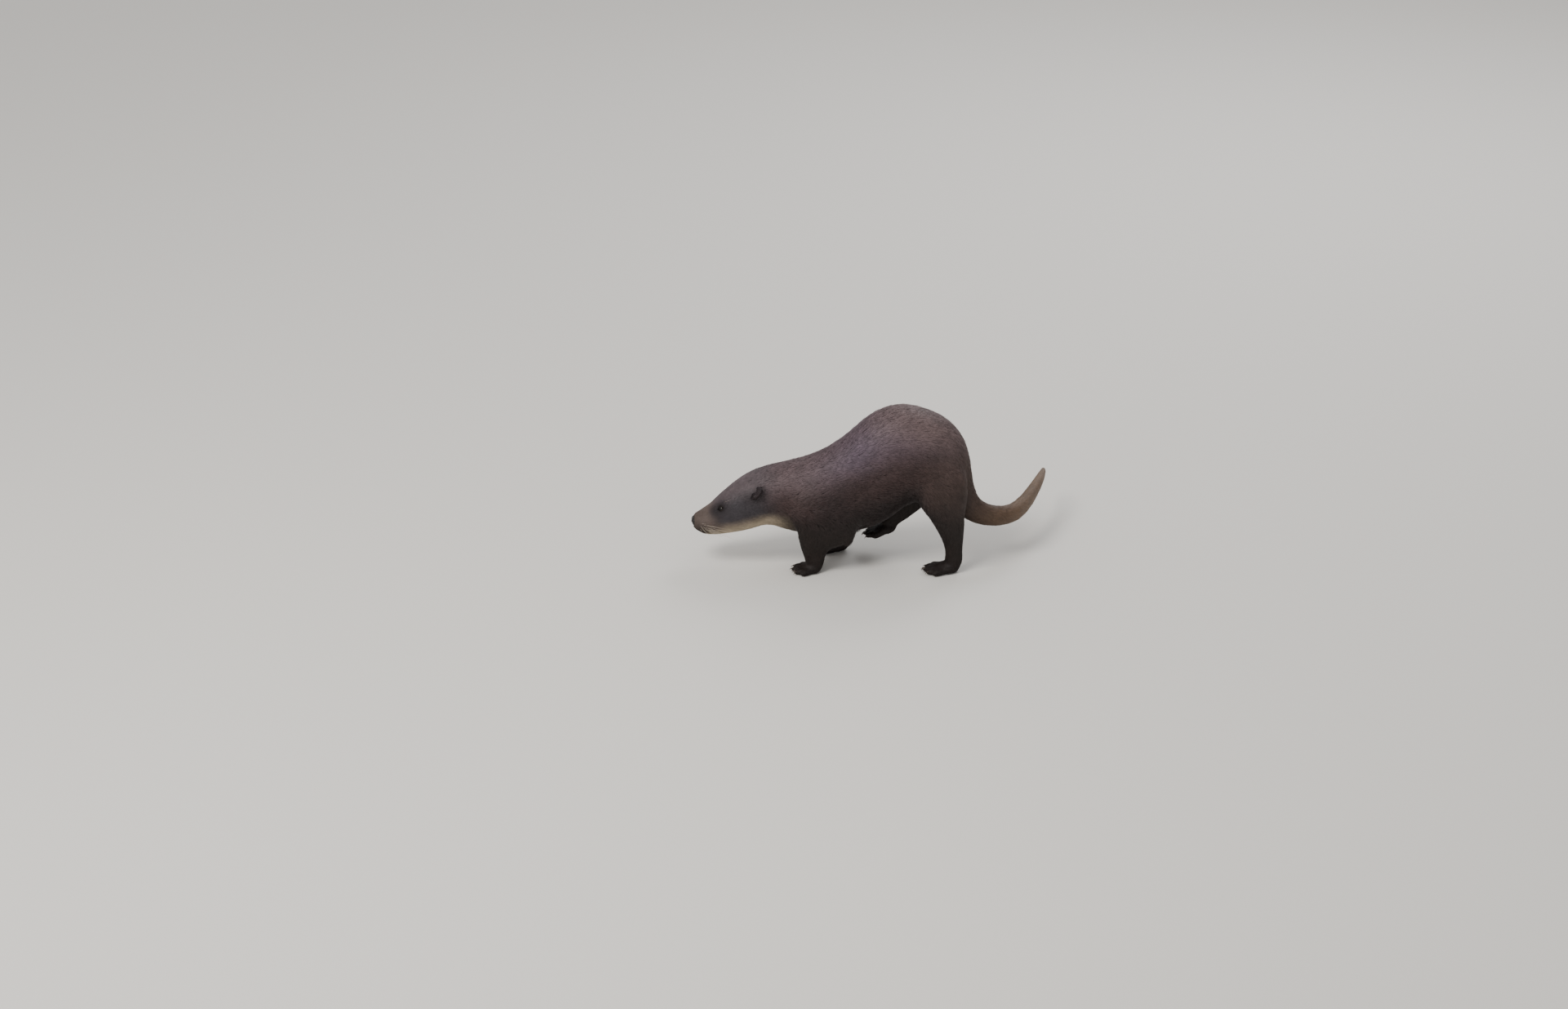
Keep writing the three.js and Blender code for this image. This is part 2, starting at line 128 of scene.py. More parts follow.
def points_of(node):
    mesh = NODES[node].data
    places = np.empty(len(mesh.vertices) * 3, np.float32)
    mesh.vertices.foreach_get("co", places)
    return np.unique(places.reshape(-1, 3).round(6), axis=0).astype(float)


def add_object(name, mesh):
    made = bpy.data.objects.new(name, mesh)
    bpy.context.scene.collection.objects.link(made)
    return made


def dress(piece, material):
    """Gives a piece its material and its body."""
    piece.data.materials.append(material)
    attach(piece, "root")


def mesh_arrays(mesh):
    """Vertices and triangles of a mesh that is all triangles."""
    places = np.empty(len(mesh.vertices) * 3, np.float32)
    mesh.vertices.foreach_get("co", places)
    corners = np.empty(len(mesh.loops), np.int32)
    mesh.loops.foreach_get("vertex_index", corners)
    return places.reshape(-1, 3).astype(float), corners.reshape(-1, 3)


def mesh_from(name, places, faces, smooth=True):
    """A mesh from arrays; faces all have the same number of corners."""
    mesh = bpy.data.meshes.new(name)
    faces = np.asarray(faces, np.int32)
    mesh.vertices.add(len(places))
    mesh.vertices.foreach_set("co", np.asarray(places, np.float32).ravel())
    mesh.loops.add(faces.size)
    mesh.loops.foreach_set("vertex_index", faces.ravel())
    mesh.polygons.add(len(faces))
    mesh.polygons.foreach_set("loop_start", np.arange(0, faces.size, faces.shape[1], dtype=np.int32))
    mesh.update(calc_edges=True)
    mesh.polygons.foreach_set("use_smooth", np.full(len(faces), smooth))
    return mesh


class Net:
    """Which points of a mesh are neighbours, for spreading values over it."""

    def __init__(self, count, faces):
        ends = np.concatenate([faces[:, [i, (i + 1) % faces.shape[1]]] for i in range(faces.shape[1])])
        ends = np.unique(np.sort(ends, axis=1), axis=0)
        both = np.concatenate([ends, ends[:, ::-1]])
        both = both[np.argsort(both[:, 0], kind="stable")]
        self.other = both[:, 1]
        self.first = np.searchsorted(both[:, 0], np.arange(count))
        self.degree = np.bincount(both[:, 0], minlength=count).astype(float)

    def mean(self, values):
        total = np.add.reduceat(values[self.other], self.first, axis=0)
        return total / (self.degree[:, None] if values.ndim > 1 else self.degree)

    def spread(self, values, rounds):
        for _ in range(rounds):
            values = (values + self.mean(values)) / 2
        return values


def normals_of(places, faces):
    a, b, c = (places[faces[:, i]] for i in range(3))
    across = np.cross(b - a, c - a)
    total = np.zeros_like(places)
    for corner in range(3):
        for axis in range(3):
            total[:, axis] += np.bincount(faces[:, corner], across[:, axis], len(places))
    return unit(total)


# ---- The skin's shape

def swollen_flesh():
    """All the solids of flesh in one mesh, each swollen until it meets the next."""
    whole = bmesh.new()
    for name in FLESH:
        part = bmesh.new()
        part.from_mesh(NODES[name].data)
        bmesh.ops.remove_doubles(part, verts=part.verts, dist=SEAM / 20)
        part.normal_update()
        for corner in part.verts:
            corner.co += corner.normal * SEAM
        piece = bpy.data.meshes.new(name)
        part.to_mesh(piece)
        part.free()
        whole.from_mesh(piece)
        bpy.data.meshes.remove(piece)
    mesh = bpy.data.meshes.new("flesh")
    whole.to_mesh(mesh)
    whole.free()
    return mesh


def after_modifier(mesh, kind, group=None, **settings):
    """What a modifier makes of a mesh, as a new mesh of triangles."""
    work = add_object("work", mesh)
    if group is not None:
        weights = work.vertex_groups.new(name="weights")
        steps = np.round(group * 20) / 20
        for level in np.unique(steps):
            weights.add(np.flatnonzero(steps == level).tolist(), float(level), "REPLACE")
    modifier = work.modifiers.new("work", kind)
    for key, value in settings.items():
        setattr(modifier, key, value)
    work.modifiers.new("triangles", "TRIANGULATE")
    made = bpy.data.meshes.new_from_object(work.evaluated_get(bpy.context.evaluated_depsgraph_get()))
    bpy.data.objects.remove(work)
    return made


def smoothed(places, net, rounds):
    """Places after each has been smoothed its own number of rounds."""
    for step in range(int(rounds.max())):
        share = np.clip(rounds - step, 0, 1)[:, None] / 2
        places = places + share * (net.mean(places) - places)
    return places


class Owner:
    """Tells which solid lies nearest to each of many places."""

    def __init__(self):
        corners, faces, self.names = [], [], []
        for name in FLESH:
            mesh = NODES[name].data
            start = len(corners)
            corners += [tuple(v.co) for v in mesh.vertices]
            faces += [tuple(start + i for i in face.vertices) for face in mesh.polygons]
            self.names += [name] * len(mesh.polygons)
        self.tree = BVHTree.FromPolygons(corners, faces)
        self.names = np.array(self.names)

    def of(self, places):
        found = [self.tree.find_nearest(place)[2] for place in places.tolist()]
        return self.names[found]


class Line:
    """A smooth line through a few points, for directions and lengths along it."""

    def __init__(self, points, rounds=3):
        points = np.array(points)
        for _ in range(rounds):
            early, late = points[:-1], points[1:]
            cut = np.stack([0.75 * early + 0.25 * late, 0.25 * early + 0.75 * late], 1)
            points = np.concatenate([points[:1], cut.reshape(-1, 3), points[-1:]])
        self.starts = points[:-1]
        self.steps = np.diff(points, axis=0)
        self.sizes = np.linalg.norm(self.steps, axis=1)
        self.before = np.concatenate([[0], np.cumsum(self.sizes)[:-1]])
        self.length = self.sizes.sum()

    def nearest(self, places):
        """Length along the line, centre and direction at the nearest point to each."""
        best = np.full(len(places), np.inf)
        along = np.zeros(len(places))
        centre = np.zeros_like(places)
        way = np.zeros_like(places)
        for start, step, size, before in zip(self.starts, self.steps, self.sizes, self.before):
            share = np.clip((places - start) @ step / size**2, 0, 1)
            spot = start + share[:, None] * step
            gap = ((places - spot) ** 2).sum(1)
            near = gap < best
            best[near] = gap[near]
            along[near] = before + share[near] * size
            centre[near] = spot[near]
            way[near] = step / size
        return along, centre, way


def cut_centre(one, other):
    """Middle of the thin cut between two neighbouring solids."""
    tree = tree_of(points_of(other))
    near = [place for place in points_of(one) if tree.find(place)[2] < 2 * SEAM]
    low, high = np.min(near, axis=0), np.max(near, axis=0)
    return (low + high) / 2


def farthest(node, origin):
    places = points_of(node)
    return places[np.argmax(away(places, origin))]


def body_line():
    cuts = [cut_centre(a, b) for a, b in zip(TRUNK_NODES, TRUNK_NODES[1:])]
    return Line([middle_of("nose"), *cuts, farthest("tail_tip", cuts[-1])])


def leg_line(upper, lower, foot):
    knee, ankle = cut_centre(upper, lower), cut_centre(lower, foot)
    return Line([middle_of(upper), knee, ankle, middle_of(foot), farthest(foot, ankle)])


# ---- Fields over the skin

# Millimetres back from the nose along the body, and there: the coat's depth, the
# length and the width of a tuft, and tufts for each square millimetre.
BODY_COAT = np.array([
    (0, 0.5, 2.2, 0.44, 3.8),
    (14, 0.8, 3.0, 0.50, 3.5),
    (34, 1.0, 4.6, 0.62, 2.9),
    (60, 1.4, 7.0, 0.78, 2.2),
    (90, 2.0, 10.0, 1.08, 1.52),
    (120, 2.6, 13.0, 1.32, 1.08),
    (170, 3.3, 16.0, 1.58, 0.84),
    (260, 3.9, 18.0, 1.76, 0.73),
    (430, 3.8, 17.0, 1.70, 0.76),
    (490, 2.9, 14.0, 1.48, 0.94),
    (602, 2.2, 11.0, 1.14, 1.02),
    (735, 1.1, 8.5, 0.88, 1.6),
    (764, 0.4, 7.0, 0.70, 2.6),
])
# The same down a leg, by share of the way from its top to its toes.
LEG_COAT = np.array([
    (0.0, 3.8, 17.0, 1.70, 0.76),
    (0.35, 2.9, 13.5, 1.42, 0.96),
    (0.55, 2.0, 9.5, 1.05, 1.35),
    (0.75, 1.3, 6.0, 0.80, 1.8),
    (0.88, 0.9, 3.8, 0.62, 2.5),
    (1.0, 0.6, 2.4, 0.48, 3.2),
])
EAR_COAT = (0.35, 2.4, 0.5, 3.4)
TO_METRES = np.array([MM, MM, MM, 1 / MM**2])


# Millimetres back from the nose, and half the body's height there.
HALF_HEIGHTS = np.array([(0, 11), (40, 24), (80, 38), (113, 46), (169, 54), (267, 64), (340, 78),
                         (400, 74), (449, 50), (509, 20), (610, 14), (766, 5)])


def coat_of(table, where):
    return np.stack([np.interp(where, table[:, 0], column) for column in table[:, 1:].T], 1)


class Skin:
    """The animal's surface, with what lies where on it."""

    def __init__(self, places, faces):
        self.places, self.faces = places, faces
        self.net = Net(len(places), faces)
        self.owner = Owner().of(places)
        self.measure()

    def measure(self):
        """Works out lines, lie and coat for the skin as it now is."""
        self.normals = normals_of(self.places, self.faces)
        body = body_line()
        self.along, centre, self.body_way = body.nearest(self.places)
        self.body_length = body.length
        tall = np.interp(self.along / MM, HALF_HEIGHTS[:, 0], HALF_HEIGHTS[:, 1]) * MM
        self.rise = (self.places[:, 2] - centre[:, 2]) / tall
        self.lie = self.body_way.copy()
        self.leg = np.zeros(len(self.places))
        self.limb = np.full(len(self.places), -1)
        coat = coat_of(BODY_COAT, self.along / MM)
        for index, names in enumerate(LEG_NODES.values()):
            mine = np.isin(self.owner, names)
            line = leg_line(*names)
            down, _, way = line.nearest(self.places[mine])
            share = down / line.length
            self.limb[mine] = index
            self.leg[mine] = share
            coat[mine] = coat_of(LEG_COAT, share)
            turn = smooth_step(share, 0.0, 0.4)[:, None]
            self.lie[mine] = (1 - turn) * self.body_way[mine] + turn * way
        for name in EAR_NODES:
            mine = self.owner == name
            coat[mine] = EAR_COAT
            low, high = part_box(name)
            root = np.array([low.x, (low.y + high.y) / 2, low.z])
            self.lie[mine] = unit(self.places[mine] - root)
        self.coat = self.net.spread(coat * TO_METRES, 24)
        self.settle_lie()

    def settle_lie(self):
        """The way the hair lies: back over the body, a little down the flanks, out
        from the nose and down the legs, evened out over the skin."""
        lie = unit(self.lie)
        lie[:, 2] -= 0.3 * np.abs(self.normals[:, 1]) * (self.limb < 0) * (self.normals[:, 2] > -0.5)
        out = self.places - middle_of("nose")
        near = bell(np.linalg.norm(out, axis=1), 30 * MM)[:, None]
        lie = unit((1 - near) * lie + near * unit(out))
        for _ in range(30):
            lie = unit(flattened(lie, self.normals))
            lie = (lie + self.net.mean(lie)) / 2
        self.lie = unit(flattened(lie, self.normals))
        facing = dot(self.normals, self.body_way)
        tip = (self.along > self.body_length - 7 * MM)[:, None] * smooth_step(facing, 0.1, 0.5)
        self.lie = unit((1 - tip) * self.lie + tip * self.body_way)


ROUNDS = {"trunk": 200, "head": 70, "upper": 170, "lower": 60, "foot": 9, "ear": 5}


def rounds_for(owner, along):
    """How many times each place is smoothed, by what it belongs to."""
    rounds = np.full(len(owner), float(ROUNDS["trunk"]))
    head = np.isin(owner, ("head", "lower_jaw"))
    rounds[head] = np.interp(along[head] / MM, (0, 20, 90, 130), (12, 40, 80, 150))
    for upper, lower, foot in LEG_NODES.values():
        rounds[owner == upper] = ROUNDS["upper"]
        rounds[owner == lower] = ROUNDS["lower"]
        rounds[owner == foot] = ROUNDS["foot"]
    tail = np.isin(owner, ("tail_root", "tail_middle", "tail_tip"))
    rounds[tail] = np.interp(along[tail] / MM, (449, 500, 602, 748), (110, 50, 22, 4))
    return rounds


def spared_ears(rounds, owner, net):
    """The same rounds, but few on the thin ears, right down to their roots."""
    ear = np.isin(owner, EAR_NODES)
    limit = net.spread(np.where(ear, float(ROUNDS["ear"]), 150.0), 2)
    return np.where(ear, np.minimum(limit, ROUNDS["ear"] + 3), np.minimum(rounds, limit + 20))


def make_skin():
    solid = after_modifier(swollen_flesh(), "REMESH", mode="VOXEL", voxel_size=VOXEL)
    places, faces = mesh_arrays(solid)
    net = Net(len(places), faces)
    owner = Owner().of(places)
    along = body_line().nearest(places)[0]
    rounds = spared_ears(net.spread(rounds_for(owner, along), 12), owner, net)
    places = smoothed(places, net, rounds)
    keep = np.isin(owner, ("head", "lower_jaw") + EAR_NODES) * 1.0
    for names in LEG_NODES.values():
        keep[owner == names[2]] = 0.7
    keep = net.spread(keep, 10)
    thin = after_modifier(
        mesh_from("skin", places, faces), "DECIMATE", group=1 - keep,
        ratio=SKIN_TRIANGLES / len(faces), vertex_group="weights", vertex_group_factor=1.0,
    )
    skin = Skin(*mesh_arrays(refined(thin, face_spots())))
    depth = skin.coat[:, 0]
    for _ in range(3):
        skin.places = skin.places - depth[:, None] / 3 * normals_of(skin.places, skin.faces)
    skin.places = smoothed(skin.places, skin.net, np.full(len(depth), 3.0))
    return skin


# ---- The face

NOSE_AT = middle_of("nose")
MIDLINE = NOSE_AT[1]
NEAR_NOSE = 22 * MM
EYE_RADIUS = (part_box("eye_left")[1].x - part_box("eye_left")[0].x) / 2
NEAR_EYE = 10 * MM
LID_THICK = 0.7 * MM
OPENING = np.radians([56, 39])  # half the eye's opening, along it and across it
JAW_LOW, JAW_HIGH = (np.array(corner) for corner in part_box("lower_jaw"))
MOUTH_CORNER = JAW_HIGH[0]
MOUTH_SLOPE = 0.06
LIP_HEIGHT = JAW_HIGH[2] - MOUTH_SLOPE * (JAW_HIGH[0] - JAW_LOW[0])


def side_sign(side):
    return -1 if side == "left" else 1


def on_face(side, back, out, up):
    """A place on one side of the face, counted from the nose's middle."""
    return NOSE_AT + np.array([back, side_sign(side) * out, up]) * MM


def refined(mesh, spots):
    """The mesh with its triangles split in four near each (centre, radius)."""
    work = bmesh.new()
    work.from_mesh(mesh)
    for centre, radius in spots:
        middle = Vector(centre)
        near = {v for v in work.verts if (v.co - middle).length < radius}
        edges = [e for e in work.edges if e.verts[0] in near and e.verts[1] in near]
        bmesh.ops.subdivide_edges(work, edges=edges, cuts=1, use_grid_fill=True)
        bmesh.ops.triangulate(work, faces=[f for f in work.faces if len(f.verts) > 3])
    work.to_mesh(mesh)
    work.free()
    return mesh


def face_spots():
    """Where the skin is made finer: nose, mouth and ears, and twice at the eyes."""
    spots = [(NOSE_AT + np.array([12, 0, -4]) * MM, 34 * MM)]
    for side in SIDES:
        eye = middle_of(f"eye_{side}")
        spots += [(eye, 14 * MM), (eye, 11 * MM), (middle_of(f"ear_{side}"), 13 * MM)]
    return spots


def mouth_line(places):
    """Height of each place over the closed mouth's line, and how far the line
    reaches there."""
    back = places[:, 0] - MOUTH_CORNER
    height = LIP_HEIGHT - MOUTH_SLOPE * back
    over = places[:, 2] - height - 1.1 * MM * np.sin(np.clip(-back / (26 * MM), 0, 2) * math.pi)
    reach = smooth_step(-back, -3 * MM, 5 * MM)
    return over, reach


EYE_STANDS = 2.5 * MM  # how far the ball's front stands before the skin round it


def eye_frame(skin, side):
    """Centre of an eye, the way it looks, along its opening and across it. The ball
    sits deeper than its solid, so that the lids can close round it."""
    centre = middle_of(f"eye_{side}")
    off = skin.places - centre
    near = away(skin.places, centre) < NEAR_EYE
    gaze = unit(skin.normals[near].mean(0) + np.array([-0.12, 0, -0.1]))
    aside = off_axis(off, gaze)
    surface = np.median((off @ gaze)[near & (aside < 4 * MM)])
    centre = centre + gaze * (surface + EYE_STANDS - EYE_RADIUS)
    along = NOSE_AT - centre
    along = unit(along - along @ gaze * gaze)
    across = np.cross(gaze, along)
    return centre, gaze, along, across * np.sign(across[2])


def shape_lids(skin, side):
    """Closes the skin round the eyeball, all but an almond opening in front."""
    centre, gaze, along, across = skin.eyes[side]
    off = skin.places - centre
    aside = off_axis(off, gaze)
    lift = 0.9 * MM * bell(aside, 9.5 * MM) * (off @ gaze > -6 * MM)
    off = off + lift[:, None] * gaze
    size = np.linalg.norm(off, axis=1)
    way = unit(off)
    ahead = way @ gaze
    turn, rise = np.arctan2(way @ along, ahead), np.arctan2(way @ across, ahead)
    rise = rise + 0.12 * np.abs(turn)
    seen = (ahead > 0) & (size < NEAR_EYE)
    opening = np.where(seen, np.hypot(turn / OPENING[0], rise / OPENING[1]), 9)
    lid = EYE_RADIUS + LID_THICK
    ring = lid + 0.4 * MM * bell(opening - 1.15, 0.16) - 1.6 * MM * smooth_step(opening, 1.3, 2.2)
    outside = (size + ring + np.sqrt((size - ring) ** 2 + (0.7 * MM) ** 2)) / 2
    outside = outside - 0.5 * MM * bell(opening - 1.75, 0.2) * (rise > 0)  # fold of the upper lid
    floor = EYE_RADIUS - 1.2 * MM
    fresh = floor + smooth_step(opening, 0.86, 1.02) * (outside - floor)
    near = smooth_step(size, 15 * MM, 11 * MM) * smooth_step(ahead, -0.2, 0.15)
    size = size + near * (fresh - size)
    off = way * size[:, None]
    skin.places = centre + off
    long, tall = EYE_RADIUS * np.sin(OPENING)
    flat = np.hypot(off @ along / long, off @ across / tall)
    skin.opening = np.minimum(skin.opening, np.where(seen, flat, 9))


NOSE_WIDE, NOSE_TALL, NOSE_DEEP = 11.0, 8.2, 5.6  # half sizes, in mm
NOSE_TILT = math.radians(14)
NOSE_FORWARD = np.array([-math.cos(NOSE_TILT), 0, -math.sin(NOSE_TILT)])
NOSE_UPWARD = np.array([-math.sin(NOSE_TILT), 0, math.cos(NOSE_TILT)])
NOSE_AXES = np.stack([np.cross(NOSE_UPWARD, NOSE_FORWARD), NOSE_UPWARD, NOSE_FORWARD])


def nose_rim(places):
    """Distance from the nose pad's middle, 1 at its rim, and the way ahead of it."""
    across, up, ahead = ((places - NOSE_AT) @ NOSE_AXES.T / MM).T
    return np.hypot(across / NOSE_WIDE, up / NOSE_TALL), ahead


def meet_nose(skin):
    """Draws the muzzle's end forward until it meets the rim of the nose pad."""
    out, ahead = nose_rim(skin.places)
    want = 0.3 - 9.5 * np.maximum(0, out - 1.05) ** 1.15 - 2.5 * smooth_step(-out, -1.0, -0.8)
    gap = want - ahead
    lift = (gap + np.sqrt(gap**2 + 1)) / 2 * (ahead > -16) * smooth_step(-out, -1.8, -1.25)
    skin.places = skin.places + lift[:, None] * MM * NOSE_FORWARD


def skin_at(skin, side, back, height):
    """The skin point on one side, so far behind the nose and over the mouth's line."""
    x = NOSE_AT[0] + back * MM
    z = LIP_HEIGHT - MOUTH_SLOPE * (x - MOUTH_CORNER) + height * MM
    out = (skin.places[:, 1] - MIDLINE) * side_sign(side)
    near = np.hypot(skin.places[:, 0] - x, skin.places[:, 2] - z) < 1.8 * MM
    return int(np.argmax(np.where(near, out, -1)))


def shape_face(skin):
    """Whisker pads, lips, bridge, brows and cheeks, as soft swellings."""
    places, normals = skin.places, skin.normals
    push = np.zeros(len(places))
    for side in SIDES:
        for (back, out, up), width, rise in (
            ((44, 22, 37), 7, 1.0),  # brow
            ((29, 12, 20), 8, -1.0),  # hollow before the eye
            ((56, 27, 12), 13, 1.2),  # cheekbone
            ((80, 38, -2), 16, 1.5),  # jaw muscle
        ):
            push += rise * MM * bell(away(places, on_face(side, back, out, up)), width * MM)
    push -= 0.7 * MM * bell(away(places, on_face("left", 26, 0, 27)), 11 * MM)  # bridge
    for back, height, width, rise in ((11, 6, 8, 2.6), (20, 6, 8, 1.6)):  # whisker pads
        for side in SIDES:
            spot = places[skin_at(skin, side, back, height)]
            push += rise * MM * bell(away(places, spot), width * MM)
    over, reach = mouth_line(places)
    push += reach * MM * (0.8 * bell(over - 2.6 * MM, 2.2 * MM) - 1.5 * bell(over, 0.95 * MM))
    chin = smooth_step(-places[:, 0], -NOSE_AT[0] - 16 * MM, -NOSE_AT[0] - 4 * MM)
    push -= 1.4 * MM * chin * smooth_step(-over, 0, 4 * MM)
    split = bell(places[:, 1] - MIDLINE, 0.8 * MM) * smooth_step(over, 0, 1 * MM)
    split *= smooth_step(NOSE_AT[2] - places[:, 2], 0, 6 * MM) * (skin.along < 22 * MM)
    push -= 0.9 * MM * split
    skin.places = places + push[:, None] * normals
    meet_nose(skin)


EAR_TURN = 34  # degrees by which the ears open more to the sides than their solids
EAR_STRETCH = 1.4  # and by how much they are wider
EAR_FACING = np.array([-0.45, 0.88, 0.10])  # the way the right ear's hollow then faces


def shape_ear(skin, side):
    """Turns the ear outwards and deepens the hollow on its front."""
    middle = middle_of(f"ear_{side}")
    mine = skin.net.spread((skin.owner == f"ear_{side}") * 1.0, 4)[:, None]
    turn = Matrix.Rotation(math.radians(-EAR_TURN * side_sign(side)), 3, "Z")
    turned = middle + (skin.places - middle) @ np.array(turn).T
    skin.places = skin.places + mine * (turned - skin.places)
    face = unit(EAR_FACING * [1, side_sign(side), 1])
    wide = unit(np.cross(face, [0, 0, 1]))
    stretch = (EAR_STRETCH - 1) * mine * dot(skin.places - middle, wide)
    skin.places = skin.places + stretch * wide
    normals = normals_of(skin.places, skin.faces)
    off = (skin.places - middle) / MM
    aside = off_axis(off, face)
    front = smooth_step(normals @ face, 0.0, 0.6)
    push = 0.5 * bell(aside - 7, 2) - 2.2 * front * bell(aside, 4.8) - 0.5 * (1 - front)
    skin.places = skin.places + mine * push[:, None] * MM * normals
    skin.places = smoothed(skin.places, skin.net, 5.0 * mine[:, 0])


def shape_head(skin):
    skin.opening = np.full(len(skin.places), 9.0)
    skin.eyes = {side: eye_frame(skin, side) for side in SIDES}
    shape_face(skin)
    for side in SIDES:
        shape_lids(skin, side)
        shape_ear(skin, side)
    skin.normals = normals_of(skin.places, skin.faces)


# ---- Unwrap of the skin

# The body's sheet lies over the four legs' sheets in the unit square.
BODY_SHEET = (0.01, 0.36, 0.98, 0.62)
LEG_SHEETS = [(0.01 + 0.248 * index, 0.01, 0.236, 0.33) for index in range(4)]


def around(line, places, outward):
    """Share along a line and share of a turn round it, counted from "outward"."""
    along, centre, way = line.nearest(places)
    first = unit(outward - (way @ outward)[:, None] * way)
    second = np.cross(way, first)
    off = places - centre
    turn = np.arctan2((off * second).sum(1), (off * first).sum(1))
    return along / line.length, 0.5 + turn / (2 * math.pi)


def unwrap(skin):
    """For each corner of each face its place on the sheets, (faces, 3, 2)."""
    flat = np.zeros((len(skin.faces), 3, 2))
    chart = skin.limb[skin.faces[:, 0]]
    legs = [
        (leg_line(*names), np.array([0, -1 if names[0].endswith("left") else 1, 0]))
        for names in LEG_NODES.values()
    ]
    sheets = {-1: (body_line(), np.array([0, 0, 1]), BODY_SHEET)}
    sheets.update({i: (*leg, LEG_SHEETS[i]) for i, leg in enumerate(legs)})
    for index, (line, outward, (left, low, wide, tall)) in sheets.items():
        mine = chart == index
        corners = skin.faces[mine]
        used, back = np.unique(corners, return_inverse=True)
        along, turn = around(line, skin.places[used], outward)
        along, turn = along[back].reshape(-1, 3), turn[back].reshape(-1, 3)
        split = turn.max(1) - turn.min(1) > 0.5
        turn[split] = np.where(turn[split] < 0.5, turn[split] + 1, turn[split])
        flat[mine, :, 0] = left + wide * along
        flat[mine, :, 1] = low + tall * np.clip(turn, 0, 1.04) / 1.04
    return flat


# ---- Markings, with painted shade and painted highlights

def tone(red, green, blue):
    """A colour given in screen values, as the shader's linear ones."""
    value = np.array([red, green, blue]) / 255
    return np.where(value <= 0.04045, value / 12.92, ((value + 0.055) / 1.055) ** 2.4)


BACK = tone(88, 73, 75)
# Painted sheen: a cool light band on the back behind the shoulder.
PAINTED_SHEEN = tone(85, 72, 86)
# Painted highlight on the top of the hump.
HUMP_HIGHLIGHT = tone(108, 91, 90)
FLANK = tone(57, 42, 41)
REAR = tone(72, 57, 50)
# Painted shade: near-black under the belly and low on the shoulders and thighs.
UNDERSIDE_SHADE = tone(33, 24, 24)
# Dark brown legs, darkened further by painted shade under the body.
LEG = tone(27, 18, 15)
CROWN = tone(92, 81, 84)
CHEEK = tone(56, 52, 56)
JAW = tone(98, 87, 80)
THROAT = tone(178, 163, 140)
MUZZLE = tone(96, 83, 77)
# Darker round the eye and ahead of it.
DARK_ROUND_EYE = tone(32, 24, 28)
# Darker on the ears and in a band from the eye towards the ear.
EAR = tone(44, 35, 38)
LIP = tone(26, 20, 19)
TAIL = tone(98, 77, 58)
NOSE_SKIN = tone(26, 21, 19)
CLAW = tone(56, 46, 39)
WHISKER = tone(176, 164, 148)
# Colours from the middle of the pupil to the eyeball's side, by share of the way.
IRIS = (
    (0.0, tone(3, 3, 3)),
    (0.40, tone(4, 3, 3)),
    (0.48, tone(30, 18, 11)),
    (0.72, tone(22, 13, 8)),
    (0.82, tone(6, 5, 4)),
)
MOTTLE_SCALE = 55.0


def layered(colour, over, share):
    return colour + share[:, None] * (over - colour)


def markings_and_light(skin):
    """The coat's colour at each place of the skin: its markings, with painted shade on the sides, under
    the body and on the legs, and a painted sheen and highlight on the back.
    """
    places = skin.places
    along = skin.along / MM
    upward = skin.net.spread(skin.normals[:, 2], 12)
    level = 0.75 * skin.rise + 0.4 * upward
    # Lighter along the top than down the sides, partly painted shade on the sides.
    colour = layered(np.tile(FLANK, (len(places), 1)), BACK, smooth_step(level, 0.0, 0.85))
    # Painted sheen on the top of the back behind the shoulder.
    colour = layered(colour, PAINTED_SHEEN, 0.8 * bell(along - 285, 75) * bell(level - 0.75, 0.35))
    # Painted highlight on the top of the hump.
    colour = layered(colour, HUMP_HIGHLIGHT, 0.8 * bell(along - 365, 45) * smooth_step(level, 0.35, 0.95))
    high = smooth_step(level, 0.4, 0.9)
    colour = layered(colour, REAR, 0.8 * smooth_step(along, 330, 430) * (1 - 0.5 * high))
    # Painted shade low on the shoulders and the thighs.
    shade_at_limbs = bell(along - 215, 40) + bell(along - 425, 40)
    colour = layered(colour, UNDERSIDE_SHADE, 0.6 * shade_at_limbs * (1 - smooth_step(level, 0.0, 0.6)))
    # Painted shade under the belly.
    colour = layered(colour, UNDERSIDE_SHADE, smooth_step(-level, 0.0, 0.6))
    colour = layered(colour, TAIL, smooth_step(along, 440, 560) * (skin.limb < 0))
    head = 1 - smooth_step(along, 90, 140)
    colour = layered(colour, CHEEK, head)
    colour = layered(colour, CROWN, head * smooth_step(level, 0.4, 0.95))
    colour = layered(colour, JAW, head * smooth_step(-level, 0.1, 0.5))
    colour = layered(colour, MUZZLE, 1 - smooth_step(along, 20, 46))
    low = smooth_step(-upward, 0.05, 0.65) * smooth_step(-skin.rise, -0.1, 0.35)
    throat = low * smooth_step(along, 4, 20) * (1 - smooth_step(along, 90, 165))
    colour = layered(colour, THROAT, 0.9 * throat * (skin.limb < 0))
    colour = face_darkening(skin, colour)
    # Dark lower legs, partly painted shade.
    leg = smooth_step(skin.leg, 0.05, 0.4) * (skin.limb >= 0)
    colour = layered(colour, LEG, skin.net.spread(leg, 16))
    ear = skin.net.spread(np.isin(skin.owner, EAR_NODES) * 1.0, 3)
    return layered(colour, EAR, ear)


